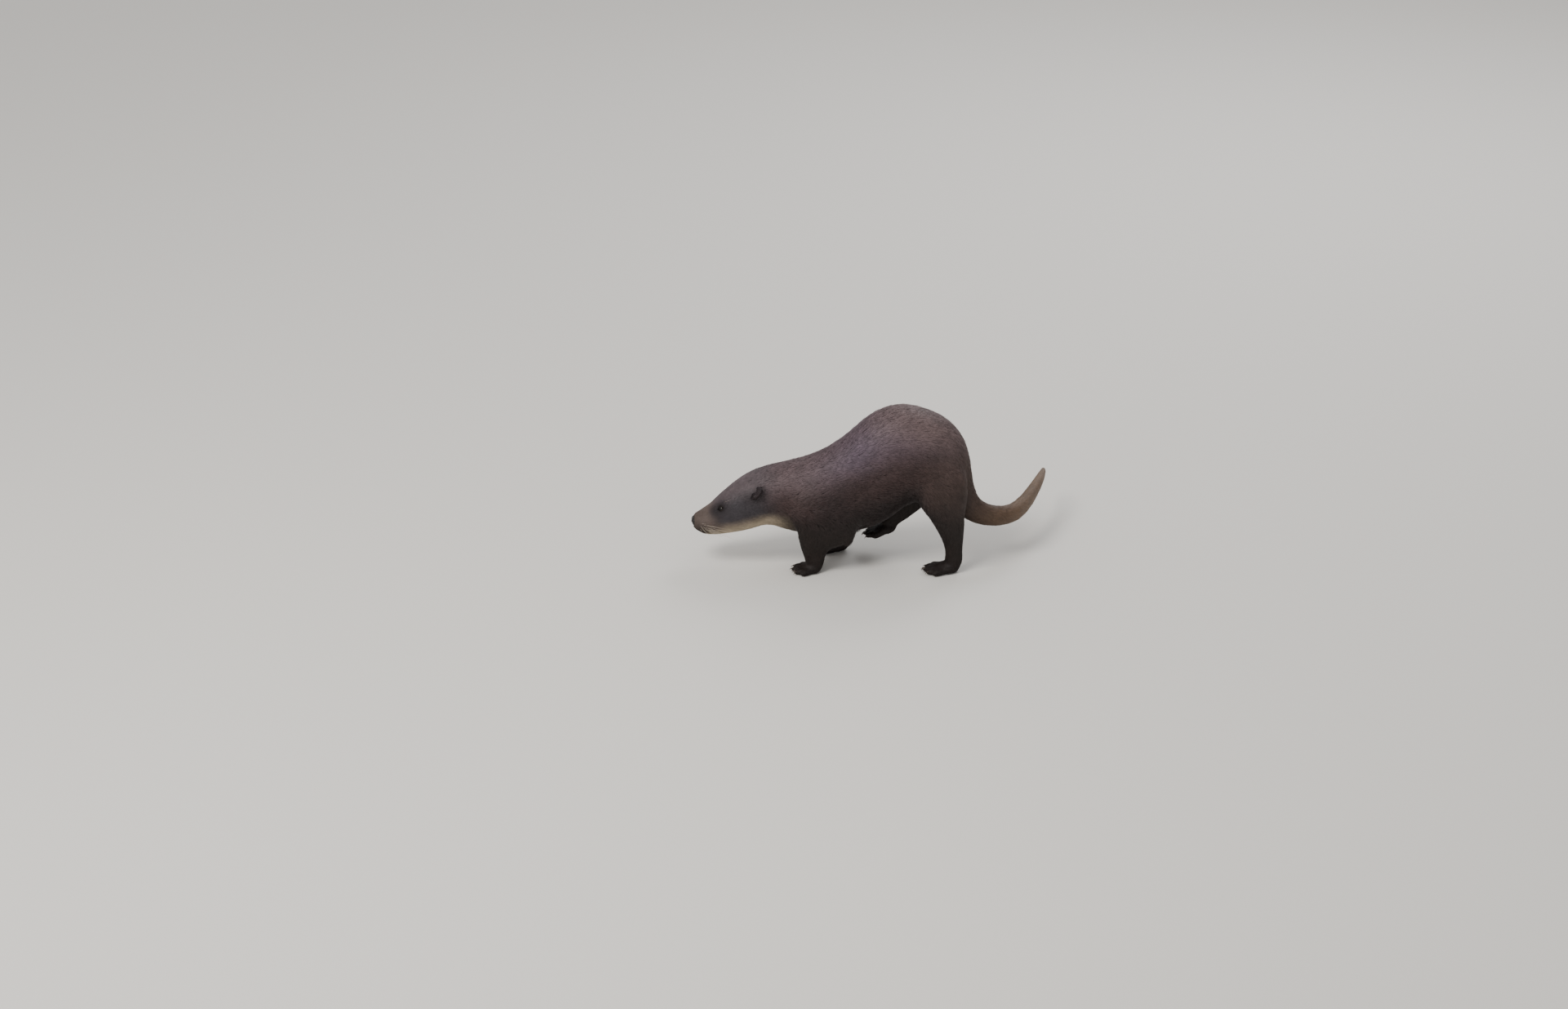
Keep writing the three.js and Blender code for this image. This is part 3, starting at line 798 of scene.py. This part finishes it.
def face_darkening(skin, colour):
    """Dark round the eye and on towards the ear, and dark lips and nose."""
    places = skin.places
    for side in SIDES:
        eye, ear = middle_of(f"eye_{side}"), middle_of(f"ear_{side}")
        band = unit(ear - eye)
        off = places - eye
        back = off @ band / MM
        aside = off_axis(off, band) / MM
        patch = bell(aside, 9.5) * smooth_step(back, -30, -10) * (1 - smooth_step(back, 0, 24))
        colour = layered(colour, DARK_ROUND_EYE, 0.92 * patch)
        ahead = away(off, [-6 * MM, 0, -3 * MM])
        colour = layered(colour, DARK_ROUND_EYE, 0.5 * bell(ahead, 15 * MM))
        eye_to_ear = bell(aside, 9) * smooth_step(back, 26, 44) * (1 - smooth_step(back, 74, 96))
        colour = layered(colour, EAR, 0.55 * eye_to_ear)
    over, reach = mouth_line(places)
    colour = layered(colour, LIP, 0.9 * reach * bell(over, 1.1 * MM))
    front = on_face("left", 6, 0, -8)
    gap = np.hypot((places[:, 0] - front[0]) / 1.5, places[:, 2] - front[2])
    colour = layered(colour, LIP, 0.75 * bell(gap, 10 * MM))
    out, _ = nose_rim(places)
    near = away(places, NOSE_AT) < NEAR_NOSE
    colour = layered(colour, LIP, near * (1 - smooth_step(out, 1.0, 1.3)))
    return layered(colour, LIP, 1 - smooth_step(skin.opening, 1.25, 1.7))


# ---- The coat

SEED = 7
MOST_TUFTS = 32_000  # in one piece
COAT_PIECES = {
    "head": (("head", "lower_jaw") + EAR_NODES, "head_coat"),
    "neck": (("neck",), "back_coat"),
    "chest": (("chest", "upper_arm_left", "upper_arm_right"), "back_coat"),
    "abdomen": (("abdomen",), "back_coat"),
    "rump": (("rump", "thigh_left", "thigh_right"), "back_coat"),
    "tail": (("tail_root", "tail_middle", "tail_tip"), "back_coat"),
    "legs": (tuple(name for names in LEG_NODES.values() for name in names[1:]), "leg_coat"),
}
# A tuft is a thin spindle: its root, a ring of three at its widest, and its tip.
TUFT_FACES = np.array([(0, 1, 2), (0, 2, 3), (0, 3, 1), (1, 4, 2), (2, 4, 3), (3, 4, 1)])
TUFT_FLAT = np.array([(-1.5, 0), (0, -1.2), (0.3, 0), (0, 1.2), (1.5, 0)]) * 0.001
# Brightness along a tuft, root to tip: darker at the root, partly painted shade where the roots lie
# under the coat, and lighter towards the tip.
TUFT_SHADES = np.array([0.82, 0.97, 1.0, 0.97, 1.14])
WIDEST = 0.42  # share of the length from the root
TUFT_ALONG = np.array([0, WIDEST, WIDEST, WIDEST, 1])
TUFT_ASIDE = np.array([0, -1.6, 0, 1.6, 0])


def scatter(skin, rng):
    """Roots of the tufts: the face of each, and its shares of the corners."""
    a, b, c = (skin.places[skin.faces[:, i]] for i in range(3))
    area = np.linalg.norm(np.cross(b - a, c - a), axis=1) / 2
    want = area * (skin.coat[:, 3] * skin.hairy)[skin.faces].mean(1)
    count = int(want.sum())
    marks = (np.arange(count) + rng.random(count)) / count * want.sum()
    face = np.minimum(np.searchsorted(np.cumsum(want), marks), len(want) - 1)
    first, second = np.sqrt(rng.random(count)), rng.random(count)
    shares = np.stack([1 - first, first * (1 - second), first * second], 1)
    return face, shares


def onward(skin, places, near, way, step):
    """Places a step further along the surface, and the nearest points there."""
    moved = places + way * step
    there = skin.hop[near]
    lift = dot(moved - skin.places[there], skin.normals[there])
    return moved - skin.normals[there] * lift, there


def prepare_hops(skin):
    """For each point of the skin the point half a tuft further on."""
    tree = tree_of(skin.places)
    ahead = skin.places + skin.lie * skin.coat[:, 1:2] / 2
    hop = np.array([tree.find(place)[1] for place in ahead.tolist()])
    ends = dot(skin.lie, skin.normals[hop])[:, 0] > 0.35  # the tip of the tail, an ear or a toe
    skin.hop = np.where(ends, np.arange(len(hop)), hop)


LOCK_WIDTHS = 3.6  # a lock's width in widths of a tuft
LOCK_PULL = 0.34


def prepare_locks(skin, rng):
    """Picks guides over the skin and gives each point its nearest guide."""
    size = LOCK_WIDTHS * skin.coat[:, 2]
    area = np.bincount(skin.faces.ravel(), minlength=len(skin.places)) * MM**2 * 0.4
    guides = np.flatnonzero(rng.random(len(skin.places)) < area / size**2)
    tree = tree_of(skin.places[guides])
    nearest = np.array([tree.find(place)[1] for place in skin.places.tolist()])
    skin.guide = guides[nearest]


def tuft_sizes(skin, near, rng):
    """Depth, length and width of each tuft, and how far it stands out."""
    depth, length, width = (skin.coat[near, i : i + 1] for i in range(3))
    count = (len(near), 1)
    length = length * rng.uniform(0.72, 1.2, count)
    width = width * rng.uniform(0.75, 1.25, count)
    stand = rng.uniform(0.75, 1.15, count) + (rng.random(count) < 0.02) * 0.35
    return depth, length, width, stand


def lock_pull(skin, near, tip, bend):
    """How far each tip is drawn sideways to the tip of its lock's guide."""
    guide = skin.guide[near]
    reach = skin.coat[guide, 1:2] * 0.9
    aim, _ = onward(skin, skin.places[guide], guide, skin.lie[guide], reach)
    return flattened(LOCK_PULL * (aim - tip), bend)


def tufts(skin, rng):
    """Every tuft's corners, normals, colours, flat places, comb and owner."""
    face, shares = scatter(skin, rng)
    corners = skin.faces[face]
    near = corners[np.arange(len(face)), shares.argmax(1)]

    def weigh(values):
        return (values[corners] * shares[:, :, None]).sum(1)

    root, normal = weigh(skin.places), unit(weigh(skin.normals))
    depth, length, width, stand = tuft_sizes(skin, near, rng)
    count = (len(face), 1)
    lie = unit(skin.lie[near])
    turn = rng.normal(0, 0.11, count) + skin.sway[near, None]
    way = lie * np.cos(turn) + np.cross(normal, lie) * np.sin(turn)
    middle, there = onward(skin, root, near, way, length * WIDEST)
    bend = unit(way + skin.lie[there])
    tip, last = onward(skin, middle, there, bend, length * (1 - WIDEST))
    pull = lock_pull(skin, near, tip, bend)
    size = np.linalg.norm(pull, axis=1, keepdims=True)
    tip = tip + pull * np.minimum(1, 0.35 * length / np.maximum(size, 1e-9))
    middle = middle + 0.3 * pull
    up, up_tip = skin.normals[there], skin.normals[last]
    across = unit(np.cross(up, bend))
    middle = middle + up * depth * 0.62 * stand
    tip = tip + up_tip * depth * stand
    ring = [middle - across * width / 2, middle + up * width * 0.3, middle + across * width / 2]
    places = np.stack([root - normal * 0.4 * MM, *ring, tip], 1)
    places[:, :, 2] = np.maximum(places[:, :, 2], 0.1 * MM)
    sides = [unit(up - 0.55 * across), up, unit(up + 0.55 * across)]
    normals = np.stack([normal, *sides, unit(up_tip + 0.25 * bend)], 1)
    shade = TUFT_SHADES * rng.uniform(0.86, 1.14, count)
    colours = weigh(skin.colour)[:, None, :] * shade[:, :, None]
    flat = (skin.flat[face] * shares[:, :, None]).sum(1)[:, None, :] + TUFT_FLAT
    start = np.broadcast_to(root[:, :1], (len(face), 5))
    comb = np.stack([TUFT_ALONG * length, TUFT_ASIDE * width, start], 2)
    comb = comb / MM + rng.uniform(0, 90, (len(face), 1, 1))
    return places, normals, colours, flat, comb, skin.owner[near]


def sway_over(skin):
    """Gentle waves in the lie, so that no stretch of coat is quite even."""
    x, y, z = (skin.places / MM).T
    wave = np.sin(x / 13 + 2.1 * np.sin(z / 29)) * np.sin(z / 17 + y / 23 + 1.3 * np.sin(x / 31))
    return 0.12 * wave + 0.07 * np.sin(x / 5.7 + z / 4.3 + 2 * np.sin(y / 9))


def add_coat(skin):
    rng = np.random.default_rng(SEED)
    prepare_hops(skin)
    prepare_locks(skin, rng)
    skin.sway = sway_over(skin)
    *arrays, owner = tufts(skin, rng)
    material = coat_material()
    for name, (nodes, slot) in COAT_PIECES.items():
        mine = np.flatnonzero(np.isin(owner, nodes))
        parts = np.array_split(mine, math.ceil(len(mine) / MOST_TUFTS))
        for index, part in enumerate(parts):
            piece = tuft_piece(f"coat_{name}_{index + 1}", *(values[part] for values in arrays))
            dress(piece, material)


def tuft_piece(name, places, normals, colours, flat, comb):
    count = len(places)
    faces = (np.arange(count)[:, None, None] * 5 + TUFT_FACES).reshape(-1, 3)
    mesh = mesh_from(name, places.reshape(-1, 3), faces)
    paint(mesh, colours.reshape(-1, 3))
    lay_flat(mesh, flat.reshape(-1, 2)[faces])
    lay_comb(mesh, comb.reshape(-1, 3))
    mesh.normals_split_custom_set_from_vertices(normals.reshape(-1, 3).tolist())
    return add_object(name, mesh)


def paint(mesh, colours):
    """Stores a colour at each point, markings with painted shade and highlights in it, which the
    material reads as "mark".
    """
    layer = mesh.color_attributes.new("mark_and_light", "FLOAT_COLOR", "POINT")
    rows = np.concatenate([colours, np.ones((len(colours), 1))], 1)
    layer.data.foreach_set("color", rows.astype(np.float32).ravel())


def lay_comb(mesh, comb):
    """Stores at each point how far along and across the hair it is, in mm, for the
    fine streaks of the material."""
    layer = mesh.attributes.new("comb", "FLOAT_VECTOR", "POINT")
    layer.data.foreach_set("vector", comb.astype(np.float32).ravel())


def lay_flat(mesh, flat):
    """Gives each corner its place on the unwrap."""
    layer = mesh.uv_layers.new(name="OFBake")
    layer.data.foreach_set("uv", flat.astype(np.float32).ravel())


# ---- Eyes, nose, whiskers and claws

def sheet_faces(rows, sides):
    """Faces of a closed surface of rings with a pole at each end: pole, rings, pole."""
    def ring(row, side):
        return 1 + row * sides + side % sides

    last = rows * sides + 1
    faces = [(0, ring(0, i + 1), ring(0, i)) for i in range(sides)]
    for row in range(rows - 1):
        for i in range(sides):
            a, b, c, d = ring(row, i), ring(row, i + 1), ring(row + 1, i + 1), ring(row + 1, i)
            faces += [(a, b, c), (a, c, d)]
    return faces + [(last, ring(rows - 1, i), ring(rows - 1, i + 1)) for i in range(sides)]


def add_eye(skin, side):
    """A ball with a slight cornea, its own z axis along the gaze."""
    rows, sides = 22, 36
    polar = np.linspace(0, math.pi, rows + 2)[1:-1, None]
    turn = np.linspace(0, 2 * math.pi, sides, endpoint=False)[None, :]
    size = EYE_RADIUS + 0.35 * MM * bell(polar, 0.55)
    ball = np.stack([size * np.sin(polar) * np.cos(turn), size * np.sin(polar) * np.sin(turn),
                     size * np.cos(polar) * np.ones_like(turn)], 2).reshape(-1, 3)
    poles = [[0, 0, EYE_RADIUS + 0.35 * MM], [0, 0, -EYE_RADIUS]]
    places = np.concatenate([poles[:1], ball, poles[1:]])
    faces = np.array(sheet_faces(rows, sides))[:, ::-1]
    piece = add_object(f"eyeball_{side}", mesh_from(f"eyeball_{side}", places, faces))
    centre, gaze, along, across = skin.eyes[side]
    turn = Matrix(np.stack([np.cross(across, gaze), across, gaze], 1).tolist()).to_4x4()
    piece.matrix_world = Matrix.Translation(centre) @ turn
    dress(piece, eye_material())
    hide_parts(f"eye_{side}")


def nostrils(across, up):
    """Depth of the two comma-shaped nostrils and of the groove between them."""
    side = np.abs(across)
    hole = np.hypot((side - 5.0) / 2.5, (up + 1.0) / 2.0)
    slit = np.hypot(np.maximum(0, np.abs(side - 8.0) - 2.2) / 1.0, (up - 0.15 * (side - 5) - 0.4) / 0.75)
    groove = bell(across, 0.75) * smooth_step(-up, -3.5, 1.0)
    return 4.2 * np.exp(-hole**4) + 1.6 * np.exp(-slit**2) + 0.8 * groove


def squared(value):
    """Pushes a circle's cosines and sines a little towards a square's."""
    return np.sign(value) * np.abs(value) ** 0.82


def add_nose():
    """The bare nose pad: a rounded shield, narrower below, with its nostrils."""
    rows, sides = 44, 84
    share = np.linspace(0, 2, rows + 2)[1:-1, None]  # 0 in front, 1 at the rim, 2 behind
    turn = np.linspace(0, 2 * math.pi, sides, endpoint=False)[None, :]
    out = np.where(share < 1, np.sin(share * math.pi / 2), np.sin((2 - share) * math.pi / 2))
    across, up = out * squared(np.cos(turn)), out * squared(np.sin(turn))
    across = across * NOSE_WIDE * (1 - 0.22 * smooth_step(-up, 0.0, 1.0))
    up = up * NOSE_TALL - 0.9 * bell(across, 3.0) * (up > 0)
    ahead = np.cos(share * math.pi / 2) * np.ones_like(turn)
    ahead = np.where(share < 1, NOSE_DEEP * np.abs(ahead) ** 0.8, 5 * ahead)
    ahead = ahead - nostrils(across, up) * (share < 1)
    ahead = ahead + 0.9 * bell(np.hypot(np.abs(across) - 6.5, up - 3.2), 3.2) * (share < 1)
    rings = np.stack([across, up, ahead], 2).reshape(-1, 3)
    front, behind = [0, 0, NOSE_DEEP - 0.8], [0, 0, -5.0]
    local = np.concatenate([[front], rings, [behind]]) * MM
    places = NOSE_AT + local @ NOSE_AXES
    faces = np.array(sheet_faces(rows, sides))[:, ::-1]
    piece = add_object("nose_pad", mesh_from("nose_pad", places, faces))
    dress(piece, nose_material())
    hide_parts("nose")


def thin_tubes(name, lines, radii, sides=5):
    """Tapered closed tubes, each along its own line of points."""
    places, faces = [], []
    for line, radius in zip(lines, radii):
        line = np.array(line)
        way = unit(np.gradient(line, axis=0))
        first = unit(np.cross(way, [0.3, 0.2, 0.93]))
        second = np.cross(way, first)
        turn = np.linspace(0, 2 * math.pi, sides, endpoint=False)
        start = len(places)
        places.append(line[0])
        for spot, one, two, size in zip(line, first, second, radius):
            places += [spot + size * (math.cos(t) * one + math.sin(t) * two) for t in turn]
        places.append(line[-1] + way[-1] * radius[-1])
        faces += [tuple(start + i for i in face) for face in sheet_faces(len(line), sides)]
    return add_object(name, mesh_from(name, np.array(places), faces))


def whisker_roots(skin, side):
    """Roots on one side: the skin point, the length in mm and the half thickness."""
    for row in range(4):
        for column in range(5 - row % 2):
            back = 7 + 4.6 * column + 1.6 * (row % 2)
            yield skin_at(skin, side, back, 3 + 3.1 * row), 13 + 7 * column, 0.22
    for index in range(3):
        brow = on_face(side, 43 + 3 * index, 24, 40)
        yield int(np.argmin(away(skin.places, brow))), 8 + 2 * index, 0.09


def add_whiskers(skin):
    """Four rows on each whisker pad, and a few hairs over each eye."""
    rng = np.random.default_rng(SEED + 1)
    for side in SIDES:
        sign = side_sign(side)
        lines, radii = [], []
        for index, length, thick in whisker_roots(skin, side):
            up = skin.normals[index]
            lean = rng.normal(0, 0.07, 3) + [0.1, 0.1 * sign, -0.10]
            way = unit(0.85 * up + skin.lie[index] * 0.8 + lean)
            back = unit(skin.lie[index] + [0, 0, -0.35])
            length *= rng.uniform(0.85, 1.12) * MM
            steps = np.linspace(0, 1, 9)[:, None]
            root = skin.places[index] - up * 0.6 * MM
            lines.append(root + length * (steps * way + 0.34 * steps**2 * back))
            radii.append(thick * MM * (1 - 0.82 * steps[:, 0] ** 1.3))
        piece = thin_tubes(f"whiskers_{side}", lines, radii)
        dress(piece, horn_material("whisker", WHISKER, 0.4, 120.0, 0.7, 1.2))


# Spread of the toes, the foot's heading and how far its toes point down, in degrees.
FEET = {
    "forefoot_left": (19, 4, 0),
    "forefoot_right": (19, 4, 0),
    "hindfoot_left": (16, 5, 0),
    "hindfoot_right": (16, 3, -14),
}
TOES = 5


def toe_ways(foot):
    """The ways in which a foot's toes point."""
    spread, heading, pitch = FEET[foot]
    sign = -1 if foot.endswith("left") else 1
    for index in range(TOES):
        turn = math.radians(spread * (index - (TOES - 1) / 2) * sign)
        toe = Vector((-math.cos(turn), math.sin(turn), 0))
        way = Matrix.Rotation(math.radians(-heading * sign), 3, "Z") @ toe
        yield np.array(Matrix.Rotation(math.radians(pitch), 3, "Y") @ way)


def add_claws(foot):
    """A short curved claw at the tip of each toe."""
    places = points_of(foot)
    lines, radii = [], []
    for way in toe_ways(foot):
        tip = places[np.argmax(places @ way)]
        ring = places[places @ way > tip @ way - 0.2 * MM].mean(0)
        start = ring - way * 3.0 * MM + np.array([0, 0, 1.9]) * MM
        steps = np.linspace(0, 1, 7)[:, None]
        lines.append(start + way * 6.6 * MM * steps + np.array([0, 0, -3.1 * MM]) * steps**2)
        radii.append((1.15 - 0.95 * steps[:, 0] ** 1.4) * MM)
    piece = thin_tubes(f"claws_{foot}", lines, radii, sides=8)
    dress(piece, horn_material("claw", CLAW, 0.35, 900.0, 0.6, 1.4))


# ---- Materials

class Nodes:
    """Short ways to add and link the nodes of a material."""

    def __init__(self, name, roughness, level=0.5):
        self.material = bpy.data.materials.new(name)
        self.material.use_nodes = True
        self.tree = self.material.node_tree
        self.shader = self.tree.nodes["Principled BSDF"]
        self.shader.inputs["Roughness"].default_value = roughness
        self.shader.inputs["Specular IOR Level"].default_value = level

    def add(self, kind, inputs=(), **settings):
        node = self.tree.nodes.new("ShaderNode" + kind)
        for key, value in settings.items():
            setattr(node, key, value)
        for key, value in dict(inputs).items():
            if isinstance(value, bpy.types.NodeSocket):
                self.tree.links.new(value, node.inputs[key])
            else:
                node.inputs[key].default_value = value
        return node

    def feed(self, key, socket):
        self.tree.links.new(socket, self.shader.inputs[key])

    def place(self):
        return self.add("TexCoord").outputs["Object"]

    def noise(self, place, scale, detail=2.0):
        inputs = {"Vector": place, "Scale": scale, "Detail": detail}
        return self.add("TexNoise", inputs).outputs["Fac"]

    def span(self, value, first, last, low, high):
        """A value brought from between first and last to between low and high."""
        inputs = {"Value": value, "From Min": first, "From Max": last, "To Min": low, "To Max": high}
        return self.add("MapRange", inputs).outputs["Result"]

    def times(self, colour, share):
        node = self.add("VectorMath", {0: colour, "Scale": share}, operation="SCALE")
        return node.outputs["Vector"]

    def bump(self, height, strength, distance, invert=False):
        inputs = {"Height": height, "Strength": strength, "Distance": distance}
        self.feed("Normal", self.add("Bump", inputs, invert=invert).outputs["Normal"])


def mottled(nodes, low, high):
    """The painted colour, lighter and darker in soft mottles and fine streaks."""
    mark_and_light = nodes.add("Attribute", attribute_name="mark_and_light").outputs["Color"]
    span = nodes.span(nodes.noise(nodes.place(), MOTTLE_SCALE, 3.0), 0.3, 0.7, low, high)
    streak = streaks(nodes)
    fine = nodes.span(streak, 0.3, 0.7, 0.86, 1.14)
    share = nodes.add("Math", {0: span, 1: fine}, operation="MULTIPLY").outputs["Value"]
    nodes.feed("Base Color", nodes.times(mark_and_light, share))
    nodes.bump(streak, 0.45, 0.15 * MM)


def streaks(nodes):
    """Noise drawn out along the hair."""
    comb = nodes.add("Attribute", attribute_name="comb").outputs["Vector"]
    drawn = nodes.add("VectorMath", {0: comb, 1: (0.12, 1.7, 1.0)}, operation="MULTIPLY")
    return nodes.noise(drawn.outputs["Vector"], 1.0)


def coat_material():
    nodes = Nodes("coat", 0.6, 0.34)
    mottled(nodes, 0.84, 1.14)
    nodes.shader.inputs["Sheen Weight"].default_value = 0.03
    nodes.shader.inputs["Sheen Roughness"].default_value = 0.4
    nodes.shader.inputs["Sheen Tint"].default_value = (0.90, 0.88, 0.93, 1)
    return nodes.material


def skin_material():
    nodes = Nodes("skin", 0.75, 0.3)
    # A little darker than the coat: painted shade in the gaps between the tufts.
    mottled(nodes, 0.84, 1.02)
    return nodes.material


def eye_material():
    """Near-black with a dark brown iris, under a wet gloss."""
    nodes = Nodes("eye", 0.07, 0.3)
    parts = nodes.add("SeparateXYZ", {"Vector": nodes.place()}).outputs
    flat = nodes.add("CombineXYZ", {"X": parts["X"], "Y": parts["Y"]}).outputs["Vector"]
    out = nodes.add("VectorMath", {0: flat}, operation="LENGTH").outputs["Value"]
    ramp = nodes.add("ValToRGB", {"Fac": nodes.span(out, 0.0, EYE_RADIUS, 0.0, 1.0)})
    while len(ramp.color_ramp.elements) < len(IRIS):
        ramp.color_ramp.elements.new(0.5)
    for element, (share, colour) in zip(ramp.color_ramp.elements, IRIS):
        element.position = share
        element.color = (*colour, 1)
    nodes.feed("Base Color", ramp.outputs["Color"])
    return nodes.material


def nose_material():
    """Dark bare skin in fine pebbles, a little damp."""
    nodes = Nodes("nose", 0.46, 0.35)
    inputs = {"Vector": nodes.place(), "Scale": 1500.0}
    cells = nodes.add("TexVoronoi", inputs, feature="SMOOTH_F1").outputs["Distance"]
    # Lighter on the pebbles and darker in the grooves between them: painted shade.
    shade = nodes.span(cells, 0.0, 0.7, 1.25, 0.6)
    nodes.feed("Base Color", nodes.times(NOSE_SKIN, shade))
    nodes.bump(cells, 0.5, 0.3 * MM, invert=True)
    return nodes.material


def horn_material(name, colour, roughness, scale, low, high):
    """Claws' horn or stiff hair, lighter and darker here and there."""
    nodes = Nodes(name, roughness)
    shade = nodes.span(nodes.noise(nodes.place(), scale), 0.0, 1.0, low, high)
    nodes.feed("Base Color", nodes.times(colour, shade))
    return nodes.material


# ---- Stage

AIM = np.array([-139.8, -82.1, 95.0]) * MM
CAMERA_AWAY = 6.0
CAMERA_HEIGHT = math.radians(22)
LENS = 87.75


def add_camera():
    data = bpy.data.cameras.new("camera")
    data.lens, data.sensor_width = LENS, 36
    camera = add_object("camera", data)
    back = Vector((0, -math.cos(CAMERA_HEIGHT), math.sin(CAMERA_HEIGHT)))
    camera.location = Vector(AIM) + back * CAMERA_AWAY
    camera.rotation_euler = (-back).to_track_quat("-Z", "Y").to_euler()
    data.clip_start, data.clip_end = 0.1, 100
    bpy.context.scene.camera = camera


def add_floor():
    size = 12.0
    corners = [(-size, -size, 0), (size, -size, 0), (size, size, 0), (-size, size, 0)]
    floor = add_object("floor", mesh_from("floor", corners, [(0, 1, 2, 3)]))
    nodes = Nodes("floor", 0.9)
    nodes.shader.inputs["Base Color"].default_value = (0.72, 0.70, 0.66, 1)
    floor.data.materials.append(nodes.material)


def add_light(name, place, size, watts, colour=(1, 1, 1)):
    data = bpy.data.lights.new(name, "AREA")
    data.shape, data.size, data.energy, data.color = "DISK", size, watts, colour
    light = add_object(name, data)
    light.location = place
    light.rotation_euler = (Vector(place) * -1).to_track_quat("-Z", "Y").to_euler()


def add_lights():
    world = bpy.data.worlds.new("world")
    world.use_nodes = True
    background = world.node_tree.nodes["Background"]
    background.inputs["Color"].default_value = (0.98, 0.97, 0.97, 1)
    background.inputs["Strength"].default_value = 0.75
    bpy.context.scene.world = world
    add_light("key", (-1.6, -1.9, 3.0), 1.6, 95, (1, 0.97, 0.93))
    add_light("back", (1.2, 2.4, 2.2), 1.6, 36, (0.96, 0.97, 1))


# ---- The animal

def add_skin(skin):
    mesh = mesh_from("skin", skin.places, skin.faces)
    paint(mesh, skin.colour)
    lay_flat(mesh, skin.flat)
    lay_comb(mesh, comb_of(skin))
    piece = add_object("skin", mesh)
    dress(piece, skin_material())
    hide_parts(*FLESH)


def comb_of(skin):
    """Millimetres along the hair and round the body or leg, at each skin point."""
    lines = [(body_line(), 45, skin.limb < 0)]
    for index, names in enumerate(LEG_NODES.values()):
        lines.append((leg_line(*names), 16, skin.limb == index))
    comb = np.zeros((len(skin.places), 3))
    for line, radius, mine in lines:
        along, centre, way = line.nearest(skin.places[mine])
        off = skin.places[mine] - centre
        upward = np.cross(np.cross(way, [0, 0.02, 1.0]), way)
        turn = np.arctan2(off[:, 1], (off * unit(upward)).sum(1))
        comb[mine] = np.stack([along / MM, turn * radius, np.full(mine.sum(), radius)], 1)
    return comb


def trim_coat(skin):
    """Shortens the coat next to the eyes, the nose and the lips."""
    over, reach = mouth_line(skin.places)
    rim = away(skin.places, NOSE_AT)
    share = 1 - 0.45 * reach * bell(over, 4 * MM)
    share *= 0.42 + 0.58 * smooth_step(skin.opening, 1.2, 3.0)
    share *= 0.5 + 0.5 * smooth_step(rim, 9 * MM, 20 * MM)
    for side in SIDES:
        ear = away(skin.places, middle_of(f"ear_{side}"))
        share *= 0.6 + 0.4 * smooth_step(ear, 9 * MM, 20 * MM)
    skin.coat[:, :3] *= share[:, None]
    skin.coat[:, 3] /= share


def hairy_share(skin):
    """1 where hair grows, 0 on the eyes and the nose's own skin."""
    over, reach = mouth_line(skin.places)
    hairy = 1 - reach * bell(over, 0.9 * MM)
    hairy *= smooth_step(skin.opening, 1.22, 1.4)
    near = away(skin.places, NOSE_AT) < NEAR_NOSE
    hairy *= np.maximum(1 - near, smooth_step(nose_rim(skin.places)[0], 0.98, 1.1))
    sole = (skin.leg > 0.75) * smooth_step(-skin.normals[:, 2], 0.5, 0.8)
    return hairy * (1 - sole)


add_camera()
add_floor()
add_lights()
otter = make_skin()
shape_head(otter)
otter.measure()
trim_coat(otter)
otter.colour = markings_and_light(otter)
otter.flat = unwrap(otter)
otter.hairy = hairy_share(otter)
add_skin(otter)
for side in SIDES:
    add_eye(otter, side)
add_nose()
add_whiskers(otter)
for foot in FEET:
    add_claws(foot)
add_coat(otter)
